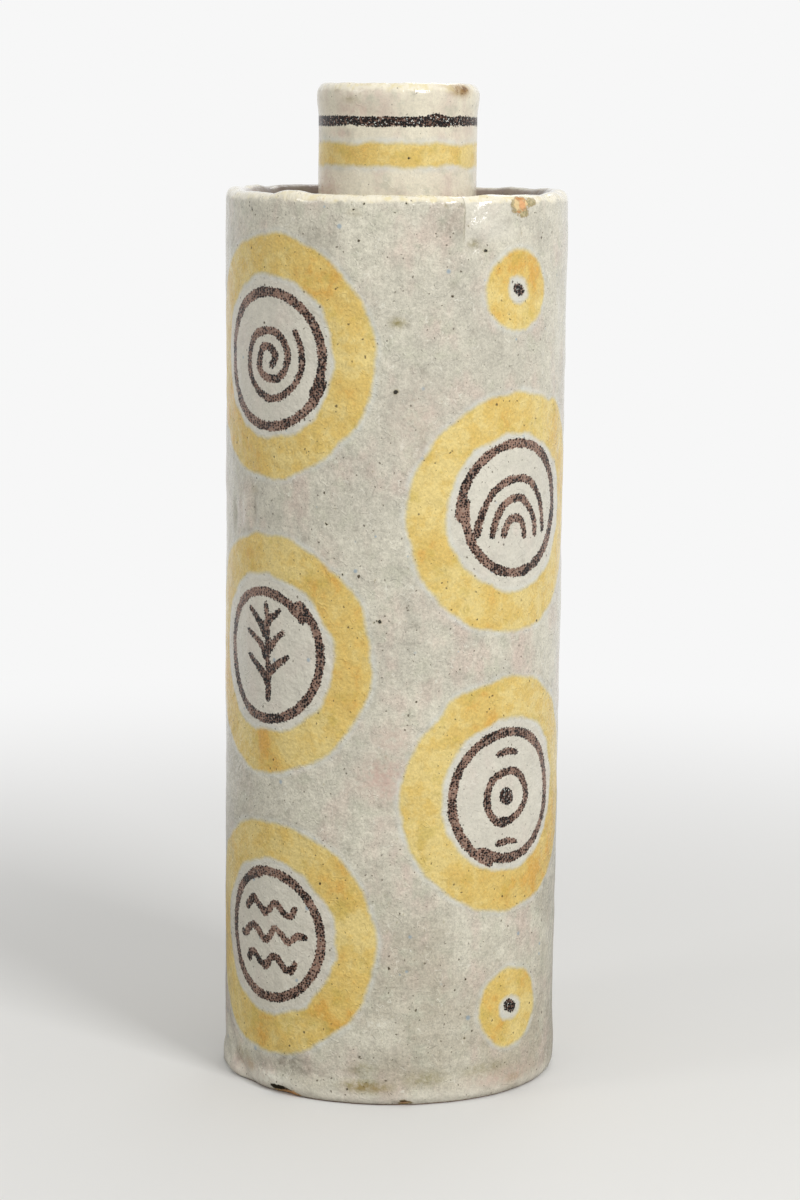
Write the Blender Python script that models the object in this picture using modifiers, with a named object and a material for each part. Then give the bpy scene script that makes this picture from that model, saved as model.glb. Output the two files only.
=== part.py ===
"""Cylindrical slab-built ceramic vase, as the pieces of clay that its maker joined.

A rolled wall stands on its own lower edge and carries two let-in discs: the base just above the
table, and the shoulder sunk below the rim. The neck stands on the shoulder round its hole. Coils
and fillets of clay close every inner corner, and a flat strip backs the wall's vertical seam.

Metres, +Z up. The origin lies on the table under the middle of the foot, and the side that faces
-Y is the front. Lengths are outer sizes of the fired pot.
"""

import math

import bmesh
import bpy
from mathutils import Matrix

# Rolled wall
BODY_HEIGHT = 0.293
RIM_RADIUS = 0.0560
FOOT_RADIUS = 0.0554
WALL_THICKNESS = 0.0065
RIM_ROUNDING = 0.0031
FOOT_ROUNDING = 0.0026
FOOT_INNER_ROUNDING = 0.0010

# Base disc, let into the wall
BASE_THICKNESS = 0.0080
BASE_RECESS = 0.0012

# Shoulder disc, let into the wall below the rim
SHOULDER_DROP = 0.0120
SHOULDER_THICKNESS = 0.0070

# Neck, standing on the shoulder
NECK_HEIGHT = 0.0460
NECK_RADIUS = 0.0260
NECK_WALL = 0.0050
LIP_SWELL = 0.0007
LIP_SWELL_HEIGHT = 0.0070
LIP_ROUNDING = 0.0024

# Coils and fillets pressed into the corners
BASE_COIL = 0.0080
LEDGE_COIL = 0.0070
SHOULDER_FILLET = 0.0050
NECK_FILLET = 0.0050
FILLET_EDGE = 0.0006

# Strip pressed over the wall's seam, on the inside
SEAM_AZIMUTH = math.radians(23)
SEAM_STRIP_WIDTH = 0.0160
SEAM_STRIP_THICKNESS = 0.0030

# Slip line left open between two pieces of clay
JOINT_GAP = 0.0003

# Most of a wall's thickness that one rounded edge may take
ROUNDING_LIMIT_SHARE = 0.48

# Facets
WALL_STEPS = 96
NECK_STEPS = 64
ROUNDING_STEPS = 5
FILLET_STEPS = 4
MERGE_DISTANCE = 0.00001
SMOOTH_ANGLE = math.radians(35)

# Finishes: base colour, roughness
TIN_GLAZE = ((0.60, 0.57, 0.49), 0.28)
DULL_GLAZE = ((0.46, 0.42, 0.35), 0.50)
BARE_CLAY = ((0.44, 0.24, 0.14), 0.88)

# Heights that follow from the sizes above
BASE_TOP = BASE_RECESS + BASE_THICKNESS
BASE_COIL_FOOT = BASE_TOP + JOINT_GAP
BASE_COIL_TOP = BASE_COIL_FOOT + BASE_COIL
SHOULDER_TOP = BODY_HEIGHT - SHOULDER_DROP
SHOULDER_UNDERSIDE = SHOULDER_TOP - SHOULDER_THICKNESS
LEDGE_TOP = SHOULDER_UNDERSIDE - JOINT_GAP
LEDGE_FOOT = LEDGE_TOP - LEDGE_COIL
NECK_FOOT = SHOULDER_TOP + JOINT_GAP
NECK_TOP = NECK_FOOT + NECK_HEIGHT
NECK_BORE_RADIUS = NECK_RADIUS - NECK_WALL
LIP_RADIUS = NECK_RADIUS + LIP_SWELL


def wall_radius(height):
    """Outer radius of the rolled wall, which widens evenly from foot to rim."""
    return FOOT_RADIUS + (RIM_RADIUS - FOOT_RADIUS) * height / BODY_HEIGHT


def bore_radius(height):
    """Inner radius of the rolled wall."""
    return wall_radius(height) - WALL_THICKNESS


def seat_radius(height):
    """Radius of a piece that is let into the wall, one slip line clear of it."""
    return bore_radius(height) - JOINT_GAP


def edge_rounding(wanted, wall):
    """Radius of one rounded edge, limited so that both edges of a wall leave a flat between."""
    return min(wanted, wall * ROUNDING_LIMIT_SHARE)


def arc(centre, radius, start, end, steps):
    """Points (radius, height) along an arc, from the angle start to end in degrees above +X."""
    points = []
    for step in range(steps + 1):
        angle = math.radians(start + (end - start) * step / steps)
        across = centre[0] + radius * math.cos(angle)
        height = centre[1] + radius * math.sin(angle)
        points.append((across, height))
    return points


def remove_everything():
    for obj in list(bpy.data.objects):
        bpy.data.objects.remove(obj, do_unlink=True)


def new_collection(name):
    collection = bpy.data.collections.new(name)
    bpy.context.scene.collection.children.link(collection)
    return collection


def clay_finish(name, finish):
    """A material for one piece, from its base colour and roughness."""
    colour, roughness = finish
    material = bpy.data.materials.new(name + "_finish")
    material.use_nodes = True
    shader = material.node_tree.nodes["Principled BSDF"]
    shader.inputs["Base Color"].default_value = (*colour, 1.0)
    shader.inputs["Roughness"].default_value = roughness
    shader.inputs["Metallic"].default_value = 0.0
    return material


def turned(name, outline, closed, finish, collection, steps):
    """A piece turned round the Z axis from its outline, which runs down the outer side.

    A closed outline makes a ring. An open one starts and ends on the axis and makes a disc.
    """
    count = len(outline)
    edges = [(i, i + 1) for i in range(count - 1)]
    if closed:
        edges.append((count - 1, 0))
    mesh = bpy.data.meshes.new(name)
    mesh.from_pydata([(radius, 0.0, height) for radius, height in outline], edges, [])
    obj = bpy.data.objects.new(name, mesh)
    collection.objects.link(obj)
    screw = obj.modifiers.new("Turn", "SCREW")
    screw.axis = "Z"
    screw.angle = math.tau
    screw.steps = steps
    screw.render_steps = steps
    screw.use_merge_vertices = True
    screw.merge_threshold = MERGE_DISTANCE
    bpy.context.view_layer.update()
    graph = bpy.context.evaluated_depsgraph_get()
    solid = bpy.data.meshes.new_from_object(obj.evaluated_get(graph))
    obj.modifiers.remove(screw)
    obj.data = solid
    solid.name = name
    bpy.data.meshes.remove(mesh)
    solid.shade_smooth()
    solid.set_sharp_from_angle(angle=SMOOTH_ANGLE)
    solid.materials.append(clay_finish(name, finish))
    return obj


def body_wall(collection):
    """The rolled wall: one tube with a rounded rim and a rounded foot edge."""
    rim = edge_rounding(RIM_ROUNDING, WALL_THICKNESS)
    outer_rim_centre = (RIM_RADIUS - rim, BODY_HEIGHT - rim)
    outer_foot_centre = (FOOT_RADIUS - FOOT_ROUNDING, FOOT_ROUNDING)
    inner_foot_centre = (bore_radius(0) + FOOT_INNER_ROUNDING, FOOT_INNER_ROUNDING)
    inner_rim_centre = (bore_radius(BODY_HEIGHT) + rim, BODY_HEIGHT - rim)
    outline = arc(outer_rim_centre, rim, 90, 0, ROUNDING_STEPS)
    outline += arc(outer_foot_centre, FOOT_ROUNDING, 0, -90, ROUNDING_STEPS)
    outline += arc(inner_foot_centre, FOOT_INNER_ROUNDING, 270, 180, FILLET_STEPS)
    outline += arc(inner_rim_centre, rim, 180, 90, ROUNDING_STEPS)
    return turned("body_wall", outline, True, TIN_GLAZE, collection, WALL_STEPS)


def base_slab(collection):
    """The base: a disc let into the wall, clear of the table."""
    outline = [
        (0.0, BASE_TOP),
        (seat_radius(BASE_TOP), BASE_TOP),
        (seat_radius(BASE_RECESS), BASE_RECESS),
        (0.0, BASE_RECESS),
    ]
    return turned("base_slab", outline, False, BARE_CLAY, collection, WALL_STEPS)


def base_coil(collection):
    """The coil pressed into the corner between the base and the wall."""
    corner = (seat_radius(BASE_COIL_FOOT), BASE_COIL_FOOT)
    face = arc(corner, BASE_COIL, 180, 90, FILLET_STEPS)[:-1]
    outline = [(seat_radius(BASE_COIL_TOP), BASE_COIL_TOP), corner] + face
    return turned("base_coil", outline, True, BARE_CLAY, collection, WALL_STEPS)


def shoulder_ledge_coil(collection):
    """The coil on the wall's inner side that the shoulder disc lies on."""
    corner = (seat_radius(LEDGE_FOOT), LEDGE_TOP)
    face = arc(corner, LEDGE_COIL, 270, 180, FILLET_STEPS)
    outline = [(seat_radius(LEDGE_TOP), LEDGE_TOP)] + face
    return turned("shoulder_ledge_coil", outline, True, BARE_CLAY, collection, WALL_STEPS)


def shoulder_slab(collection):
    """The shoulder: a disc with a hole as wide as the neck's bore, let in below the rim."""
    outline = [
        (seat_radius(SHOULDER_TOP), SHOULDER_TOP),
        (seat_radius(SHOULDER_UNDERSIDE), SHOULDER_UNDERSIDE),
        (NECK_BORE_RADIUS, SHOULDER_UNDERSIDE),
        (NECK_BORE_RADIUS, SHOULDER_TOP),
    ]
    return turned("shoulder_slab", outline, True, DULL_GLAZE, collection, WALL_STEPS)


def shoulder_fillet(collection):
    """The smoothed fillet in the well, between the shoulder and the wall."""
    foot = SHOULDER_TOP + JOINT_GAP
    top = foot + SHOULDER_FILLET
    inner = seat_radius(foot) - SHOULDER_FILLET
    reach = SHOULDER_FILLET - FILLET_EDGE
    hollow = arc((inner, top), reach, -90, 0, FILLET_STEPS)
    outline = [
        (seat_radius(top), top),
        (seat_radius(foot), foot),
        (inner, foot),
    ] + hollow
    return turned("shoulder_fillet", outline, True, DULL_GLAZE, collection, WALL_STEPS)


def lip_swell():
    """Points down the neck's outer side, easing in from the lip's radius to the neck's."""
    top = NECK_TOP - edge_rounding(LIP_ROUNDING, NECK_WALL)
    points = []
    for step in range(1, ROUNDING_STEPS + 1):
        share = step / ROUNDING_STEPS
        swell = LIP_SWELL * (1 + math.cos(math.pi * share)) / 2
        points.append((NECK_RADIUS + swell, top - LIP_SWELL_HEIGHT * share))
    return points


def neck_wall(collection):
    """The neck: a tube with a swelling, rounded lip."""
    lip = edge_rounding(LIP_ROUNDING, NECK_WALL)
    outline = arc((LIP_RADIUS - lip, NECK_TOP - lip), lip, 90, 0, ROUNDING_STEPS)
    outline += lip_swell()
    outline += [(NECK_RADIUS, NECK_FOOT), (NECK_BORE_RADIUS, NECK_FOOT)]
    outline += arc((NECK_BORE_RADIUS + lip, NECK_TOP - lip), lip, 180, 90, ROUNDING_STEPS)
    return turned("neck_wall", outline, True, TIN_GLAZE, collection, NECK_STEPS)


def neck_fillet(collection):
    """The smoothed fillet round the neck's foot, on the shoulder."""
    inner = NECK_RADIUS + JOINT_GAP
    outer = inner + NECK_FILLET
    top = NECK_FOOT + NECK_FILLET
    reach = NECK_FILLET - FILLET_EDGE
    hollow = arc((outer, top), reach, 180, 270, FILLET_STEPS)
    outline = hollow + [(outer, NECK_FOOT), (inner, NECK_FOOT), (inner, top)]
    return turned("neck_fillet", outline, True, DULL_GLAZE, collection, NECK_STEPS)


def strip_cutter(collection):
    """A box through the wall at the seam, as wide as the strip and as tall as the wall."""
    cutter_mesh = bpy.data.meshes.new("seam_strip_cutter")
    cube = bmesh.new()
    bmesh.ops.create_cube(cube, size=1.0)
    cube.transform(Matrix.Diagonal((SEAM_STRIP_WIDTH, RIM_RADIUS, BODY_HEIGHT, 1.0)))
    cube.transform(Matrix.Translation((0.0, -RIM_RADIUS, BODY_HEIGHT / 2)))
    cube.transform(Matrix.Rotation(SEAM_AZIMUTH, 4, "Z"))
    cube.to_mesh(cutter_mesh)
    cube.free()
    cutter = bpy.data.objects.new("seam_strip_cutter", cutter_mesh)
    cutter.hide_render = True
    cutter.display_type = "WIRE"
    collection.objects.link(cutter)
    return cutter


def body_seam_strip(collection, cutters):
    """The strip pressed over the seam: a stretch of a thin lining between the two coils."""
    top = LEDGE_FOOT - JOINT_GAP
    foot = BASE_COIL_TOP + JOINT_GAP
    outline = [
        (seat_radius(top), top),
        (seat_radius(foot), foot),
        (seat_radius(foot) - SEAM_STRIP_THICKNESS, foot),
        (seat_radius(top) - SEAM_STRIP_THICKNESS, top),
    ]
    strip = turned("body_seam_strip", outline, True, BARE_CLAY, collection, WALL_STEPS)
    cut = strip.modifiers.new("Width", "BOOLEAN")
    cut.operation = "INTERSECT"
    cut.object = strip_cutter(cutters)
    return strip


def main():
    remove_everything()
    vase = new_collection("cylindrical_vase")
    cutters = new_collection("cutters")
    body_wall(vase)
    base_slab(vase)
    base_coil(vase)
    shoulder_ledge_coil(vase)
    shoulder_slab(vase)
    shoulder_fillet(vase)
    neck_wall(vase)
    neck_fillet(vase)
    body_seam_strip(vase, cutters)


main()
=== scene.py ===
"""Looks of a tall slab-built ceramic vase: its hand-built forms, glaze, brushed decoration and wear.

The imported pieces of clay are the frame. Each one that shows is replaced by a form of the same place
and size. A Geometry Nodes tree turns its section round the axis and lets the clay waver, and then the
marks of the making are pressed into it. The decoration is a generic one: yellow rings laid with a
flat brush, in a half-drop layout, round small dark motifs drawn with a liner.

Metres, +Z up, and -Y is the front. A place on the wall is an azimuth in degrees, from the front
towards +X, and a height in millimetres. The decoration is laid out in millimetres on the wall.
"""

import math

import bmesh
import bpy
import numpy as np
from mathutils import Matrix, Vector, noise


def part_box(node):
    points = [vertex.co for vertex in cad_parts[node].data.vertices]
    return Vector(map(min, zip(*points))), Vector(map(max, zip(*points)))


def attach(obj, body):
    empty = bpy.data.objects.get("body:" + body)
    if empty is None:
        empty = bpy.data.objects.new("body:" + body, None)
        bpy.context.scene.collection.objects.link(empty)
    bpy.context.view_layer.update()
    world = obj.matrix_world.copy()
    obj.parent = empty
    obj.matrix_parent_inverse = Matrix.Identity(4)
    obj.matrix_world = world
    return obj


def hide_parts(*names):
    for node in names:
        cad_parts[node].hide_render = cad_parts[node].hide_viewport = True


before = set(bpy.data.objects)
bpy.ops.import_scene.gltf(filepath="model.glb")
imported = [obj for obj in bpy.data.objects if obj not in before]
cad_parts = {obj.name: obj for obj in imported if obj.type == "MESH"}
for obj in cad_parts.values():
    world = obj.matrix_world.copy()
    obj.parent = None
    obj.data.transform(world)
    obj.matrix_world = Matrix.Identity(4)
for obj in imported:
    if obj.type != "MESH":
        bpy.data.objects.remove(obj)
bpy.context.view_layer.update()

MM = 0.001

# Sizes read from the frame
WALL_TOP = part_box("body_wall")[1]
NECK_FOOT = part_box("neck_wall")[0].z
NECK_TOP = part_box("neck_wall")[1]
SLAB_FOOT, SLAB_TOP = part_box("shoulder_slab")
BASE_FOOT, BASE_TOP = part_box("base_slab")
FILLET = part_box("shoulder_fillet")[1].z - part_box("shoulder_fillet")[0].z

# Sizes of the clay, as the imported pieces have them
FOOT_NARROWING = 0.6 * MM
WALL_THICKNESS = 6.5 * MM
RIM_ROUNDING = 3.1 * MM
FOOT_ROUND_WIDE = 2.2 * MM
FOOT_ROUND_TALL = 3.4 * MM
INNER_ROUNDING = 1.0 * MM
NECK_WALL = 5.0 * MM
LIP_ROUND_WIDE = 2.8 * MM
LIP_ROUND_TALL = 4.2 * MM
LIP_INNER_ROUNDING = 2.1 * MM
LIP_SWELL = 0.7 * MM
LIP_SWELL_HEIGHT = 7.0 * MM
DISC_ROUNDING = 1.2 * MM

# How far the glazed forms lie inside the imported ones, so that their wavering stays within them
WAVER_ROOM = 0.16 * MM
TUCK = 0.6 * MM

# Spacing of the mesh
WALL_COLUMNS = 300
NECK_COLUMNS = 176
WALL_ROW = 1.15 * MM
NECK_ROW = 0.9 * MM
ROUND_ROW = 0.65 * MM
HIDDEN_ROW = 12.0 * MM
DISC_ROW = 3.0 * MM
WELL_ROW = 1.6 * MM
SPINDLE = 1.0 * MM
MERGE_DISTANCE = 0.01 * MM

# Radii that follow
RIM_RADIUS = WALL_TOP.x - WAVER_ROOM
FOOT_RADIUS = RIM_RADIUS - FOOT_NARROWING
BORE_RADIUS = RIM_RADIUS - WALL_THICKNESS
LIP_RADIUS = NECK_TOP.x - WAVER_ROOM
NECK_RADIUS = LIP_RADIUS - LIP_SWELL
NECK_BORE = NECK_RADIUS - NECK_WALL
LIP_TOP = NECK_TOP.z - WAVER_ROOM

# The seam where the rolled wall's two ends meet: azimuth, and length and step in millimetres
SEAM_AZIMUTH = 22.2
SEAM_LENGTH = 17.0
SEAM_STEP = 0.55

# Brushwork, in millimetres: far outside any stroke, how far a stroke is felt, and how loads blend
FAR = 30.0
STROKE_REACH = 14.0
BLEND_MM = 1.0


def linear(red, green, blue):
    """The linear colour of an sRGB colour given from 0 to 255."""

    def channel(value):
        share = value / 255
        return share / 12.92 if share <= 0.04045 else ((share + 0.055) / 1.055) ** 2.4

    return (channel(red), channel(green), channel(blue), 1.0)


# Colours of the glazes, the clay and its stains, and of painted highlights and painted shade
WHITE = (1.0, 1.0, 1.0, 1.0)
GLAZE_CREAM = linear(224, 219, 201)
GLAZE_GREY = linear(207, 202, 186)
GLAZE_PINK = linear(216, 197, 183)
GLAZE_GREEN = linear(206, 204, 184)
GLAZE_FOOT = linear(196, 187, 167)
# A near white for pale pinheads and scratches in the glaze, and for painted glints and highlights
GLAZE_PIN_AND_GLINT = linear(244, 241, 226)
GLAZE_WHITE = linear(232, 227, 214)
NECK_CREAM = linear(242, 235, 213)
NECK_GREY = linear(232, 224, 203)
# A painted highlight over the cream glaze along the tops of the rim and the lip
LIP_CREAM_HIGHLIGHT = linear(248, 240, 217)
# A painted highlight over the cream glaze on the rolled edge of the foot
FOOT_CREAM_HIGHLIGHT = linear(250, 243, 228)
LIP_YELLOW = linear(232, 216, 156)
HALO_WHITE = linear(224, 226, 218)
YELLOW_PALE = linear(239, 215, 140)
YELLOW_MID = linear(232, 200, 114)
YELLOW_ORANGE = linear(228, 178, 84)
YELLOW_OLIVE = linear(207, 183, 86)
YELLOW_EDGE = linear(217, 201, 134)
DARK_PALE = linear(170, 148, 132)
DARK_PINK = linear(158, 126, 110)
DARK_PURPLE = linear(88, 60, 48)
DARK_DOT = linear(14, 8, 6)
DARK_BROWN = linear(70, 42, 30)
SPECK_DARK = linear(72, 60, 38)
SPECK_BLACK = linear(20, 14, 8)
SPECK_BLUE = linear(146, 168, 184)
STAIN_OLIVE = linear(154, 143, 98)
STAIN_PINK = linear(212, 182, 168)
# A grey for smoky blotches in the glaze and for painted shade
SMOKE_AND_SHADE_GREY = linear(136, 128, 114)
STAIN_RUST = linear(162, 126, 70)
STAIN_BROWN = linear(108, 74, 34)
CHIP_CORE = linear(238, 182, 130)
CHIP_PALE = linear(236, 212, 160)
CHIP_HALO = linear(194, 178, 132)
CHIP_OCHRE = linear(198, 136, 78)
# A painted shadow for the hollows of chips
CHIP_NOTCH_SHADOW = linear(42, 34, 18)
CHIP_LINE = linear(150, 124, 76)
CLAY_LIGHT = linear(196, 146, 106)
CLAY_DARK = linear(156, 106, 74)
# The browns of the well are partly a thinner glaze and partly painted shade
WELL_BROWN = linear(142, 126, 112)
WELL_MAUVE = linear(134, 114, 106)
WELL_CREAM = linear(190, 180, 162)

# Small helpers


def smooth(value, low, high):
    """A soft step from 0 at low to 1 at high, on numbers or arrays."""
    share = np.clip((value - low) / (high - low), 0.0, 1.0)
    return share * share * (3 - 2 * share)


def wander(place, seed):
    """A smooth wavering between about -1 and 1 along a line of numbers."""
    return 2 * noise.noise(Vector((place, 7.31 * seed, 0.5)))


def wander_round(azimuth, waves, seed):
    """The same round a circle, for an array of azimuths in degrees, closing on itself."""
    turns = np.radians(azimuth)
    across = waves * np.sin(turns) / math.tau
    along = waves * np.cos(turns) / math.tau
    return np.array([2 * noise.noise(Vector((x, y, 5.7 * seed))) for x, y in zip(across, along)])


def read_points(mesh):
    flat = np.empty(len(mesh.vertices) * 3, np.float32)
    mesh.vertices.foreach_get("co", flat)
    return flat.reshape(-1, 3).astype(float)


def write_points(mesh, points):
    mesh.vertices.foreach_set("co", points.astype(np.float32).ravel())
    mesh.update()


def keep_values(mesh, **values):
    """Stores named numbers for each point of the mesh, for its material to read."""
    for name, numbers in values.items():
        attribute = mesh.attributes.new(name, "FLOAT", "POINT")
        attribute.data.foreach_set("value", numbers.astype(np.float32))


def new_object(name, data):
    """A new object in the scene."""
    made = bpy.data.objects.new(name, data)
    bpy.context.scene.collection.objects.link(made)
    return made


def polar(points):
    """Azimuth in degrees, radius in metres and height in metres of each point."""
    azimuth = np.degrees(np.arctan2(points[:, 0], -points[:, 1]))
    return azimuth, np.hypot(points[:, 0], points[:, 1]), points[:, 2]


def turn_apart(azimuth, middle):
    """Degrees from the middle to each azimuth, the short way round."""
    return (azimuth - middle + 180) % 360 - 180


def local_places(azimuth, height, middle, level, radius):
    """Places on the unrolled wall, in millimetres from a middle point."""
    across = np.radians(turn_apart(azimuth, middle)) * radius / MM
    return np.stack([across, height / MM - level], axis=1)


def move_outward(points, azimuth, distance):
    """Moves the points away from the axis."""
    turns = np.radians(azimuth)
    points[:, 0] += np.sin(turns) * distance
    points[:, 1] -= np.cos(turns) * distance


# Sections, as points (radius, height) that run down the outer side and back up the inner one


def run(first, last, spacing):
    """Points on a straight run, without its last one."""
    rise = (last[0] - first[0], last[1] - first[1])
    steps = max(1, round(math.hypot(*rise) / spacing))
    return [(first[0] + rise[0] * i / steps, first[1] + rise[1] * i / steps) for i in range(steps)]


def arc(centre, wide, start, end, tall=None):
    """Points on an arc from the angle start to end, in degrees above +X, with both ends."""
    tall = tall or wide
    turn = math.radians(end - start)
    steps = max(3, round(abs(turn) * max(wide, tall) / ROUND_ROW))
    angles = [math.radians(start) + turn * i / steps for i in range(steps + 1)]
    return [(centre[0] + wide * math.cos(a), centre[1] + tall * math.sin(a)) for a in angles]


def chain(*pieces):
    """One list of points from several, without points that repeat."""
    points = []
    for point in (point for piece in pieces for point in piece):
        if not points or math.dist(point, points[-1]) > MERGE_DISTANCE:
            points.append(point)
    return points


def wall_section():
    rim = WALL_TOP.z - RIM_ROUNDING
    well = SLAB_TOP.z - TUCK
    inner_foot = FOOT_RADIUS - WALL_THICKNESS
    outer_foot = (FOOT_RADIUS - FOOT_ROUND_WIDE, FOOT_ROUND_TALL)
    return chain(
        arc((RIM_RADIUS - RIM_ROUNDING, rim), RIM_ROUNDING, 90, 0),
        run((RIM_RADIUS, rim), (FOOT_RADIUS, FOOT_ROUND_TALL), WALL_ROW),
        arc(outer_foot, FOOT_ROUND_WIDE, 0, -90, FOOT_ROUND_TALL),
        arc((inner_foot + INNER_ROUNDING, INNER_ROUNDING), INNER_ROUNDING, 270, 180),
        run((inner_foot, INNER_ROUNDING), (BORE_RADIUS, well), HIDDEN_ROW),
        run((BORE_RADIUS, well), (BORE_RADIUS, rim), WELL_ROW),
        arc((BORE_RADIUS + RIM_ROUNDING, rim), RIM_ROUNDING, 180, 90),
    )


def neck_section():
    lip = LIP_TOP - LIP_ROUND_TALL
    inner = LIP_TOP - LIP_INNER_ROUNDING
    swell_steps = round(LIP_SWELL_HEIGHT / NECK_ROW)
    swell = []
    for i in range(1, swell_steps + 1):
        share = i / swell_steps
        radius = NECK_RADIUS + LIP_SWELL * (1 + math.cos(math.pi * share)) / 2
        swell.append((radius, lip - LIP_SWELL_HEIGHT * share))
    return chain(
        arc((LIP_RADIUS - LIP_ROUND_WIDE, lip), LIP_ROUND_WIDE, 90, 0, LIP_ROUND_TALL),
        swell,
        run((NECK_RADIUS, swell[-1][1]), (NECK_RADIUS, NECK_FOOT), NECK_ROW),
        run((NECK_RADIUS, NECK_FOOT), (NECK_BORE, NECK_FOOT), WELL_ROW),
        run((NECK_BORE, NECK_FOOT), (NECK_BORE, inner), WELL_ROW),
        arc((NECK_BORE + LIP_INNER_ROUNDING, inner), LIP_INNER_ROUNDING, 180, 90),
    )


def shoulder_section():
    """The shoulder with the fillets smeared on both its edges, tucked into wall and neck."""
    wall = SLAB_TOP.x + TUCK
    neck = NECK_RADIUS - TUCK
    floor = SLAB_TOP.z
    top = floor + FILLET
    return chain(
        arc((NECK_RADIUS + FILLET, top), FILLET, 180, 270),
        run((NECK_RADIUS + FILLET, floor), (wall - FILLET, floor), WELL_ROW),
        arc((wall - FILLET, top), FILLET, 270, 360),
        run((wall, top), (SLAB_TOP.x, floor - TUCK), WELL_ROW),
        run((SLAB_TOP.x, floor - TUCK), (SLAB_TOP.x, SLAB_FOOT.z), WELL_ROW),
        run((SLAB_TOP.x, SLAB_FOOT.z), (NECK_BORE, SLAB_FOOT.z), HIDDEN_ROW),
        run((NECK_BORE, SLAB_FOOT.z), (NECK_BORE, floor), WELL_ROW),
        run((NECK_BORE, floor), (neck, floor), WELL_ROW),
        run((neck, floor), (neck, top), WELL_ROW),
    )


def base_section():
    """The base disc, from the axis out along its top, round its edge and back to the axis."""
    edge = BASE_TOP.x - DISC_ROUNDING
    return chain(
        run((0.0, BASE_TOP.z), (edge, BASE_TOP.z), DISC_ROW),
        arc((edge, BASE_TOP.z - DISC_ROUNDING), DISC_ROUNDING, 90, 0),
        arc((edge, BASE_FOOT.z + DISC_ROUNDING), DISC_ROUNDING, 0, -90),
        run((edge, BASE_FOOT.z), (0.0, BASE_FOOT.z), DISC_ROW),
        [(0.0, BASE_FOOT.z)],
    )


# Wiring of node trees

# The sockets of a Mix node on colours, by number, because several of them share a name
MIX_SHARE = 0
MIX_FIRST = 6
MIX_SECOND = 7
MIX_RESULT = 2


def put(socket, value):
    """Links a field into a socket, or sets the socket to a plain value."""
    if isinstance(value, Field):
        socket.id_data.links.new(value.socket, socket)
    else:
        socket.default_value = value


def add_node(tree, kind, inputs=None, **settings):
    """A new node, with its settings made and its inputs filled."""
    node = tree.nodes.new(kind)
    for name, value in settings.items():
        setattr(node, name, value)
    for key, value in (inputs or {}).items():
        put(node.inputs[key], value)
    return node


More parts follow.
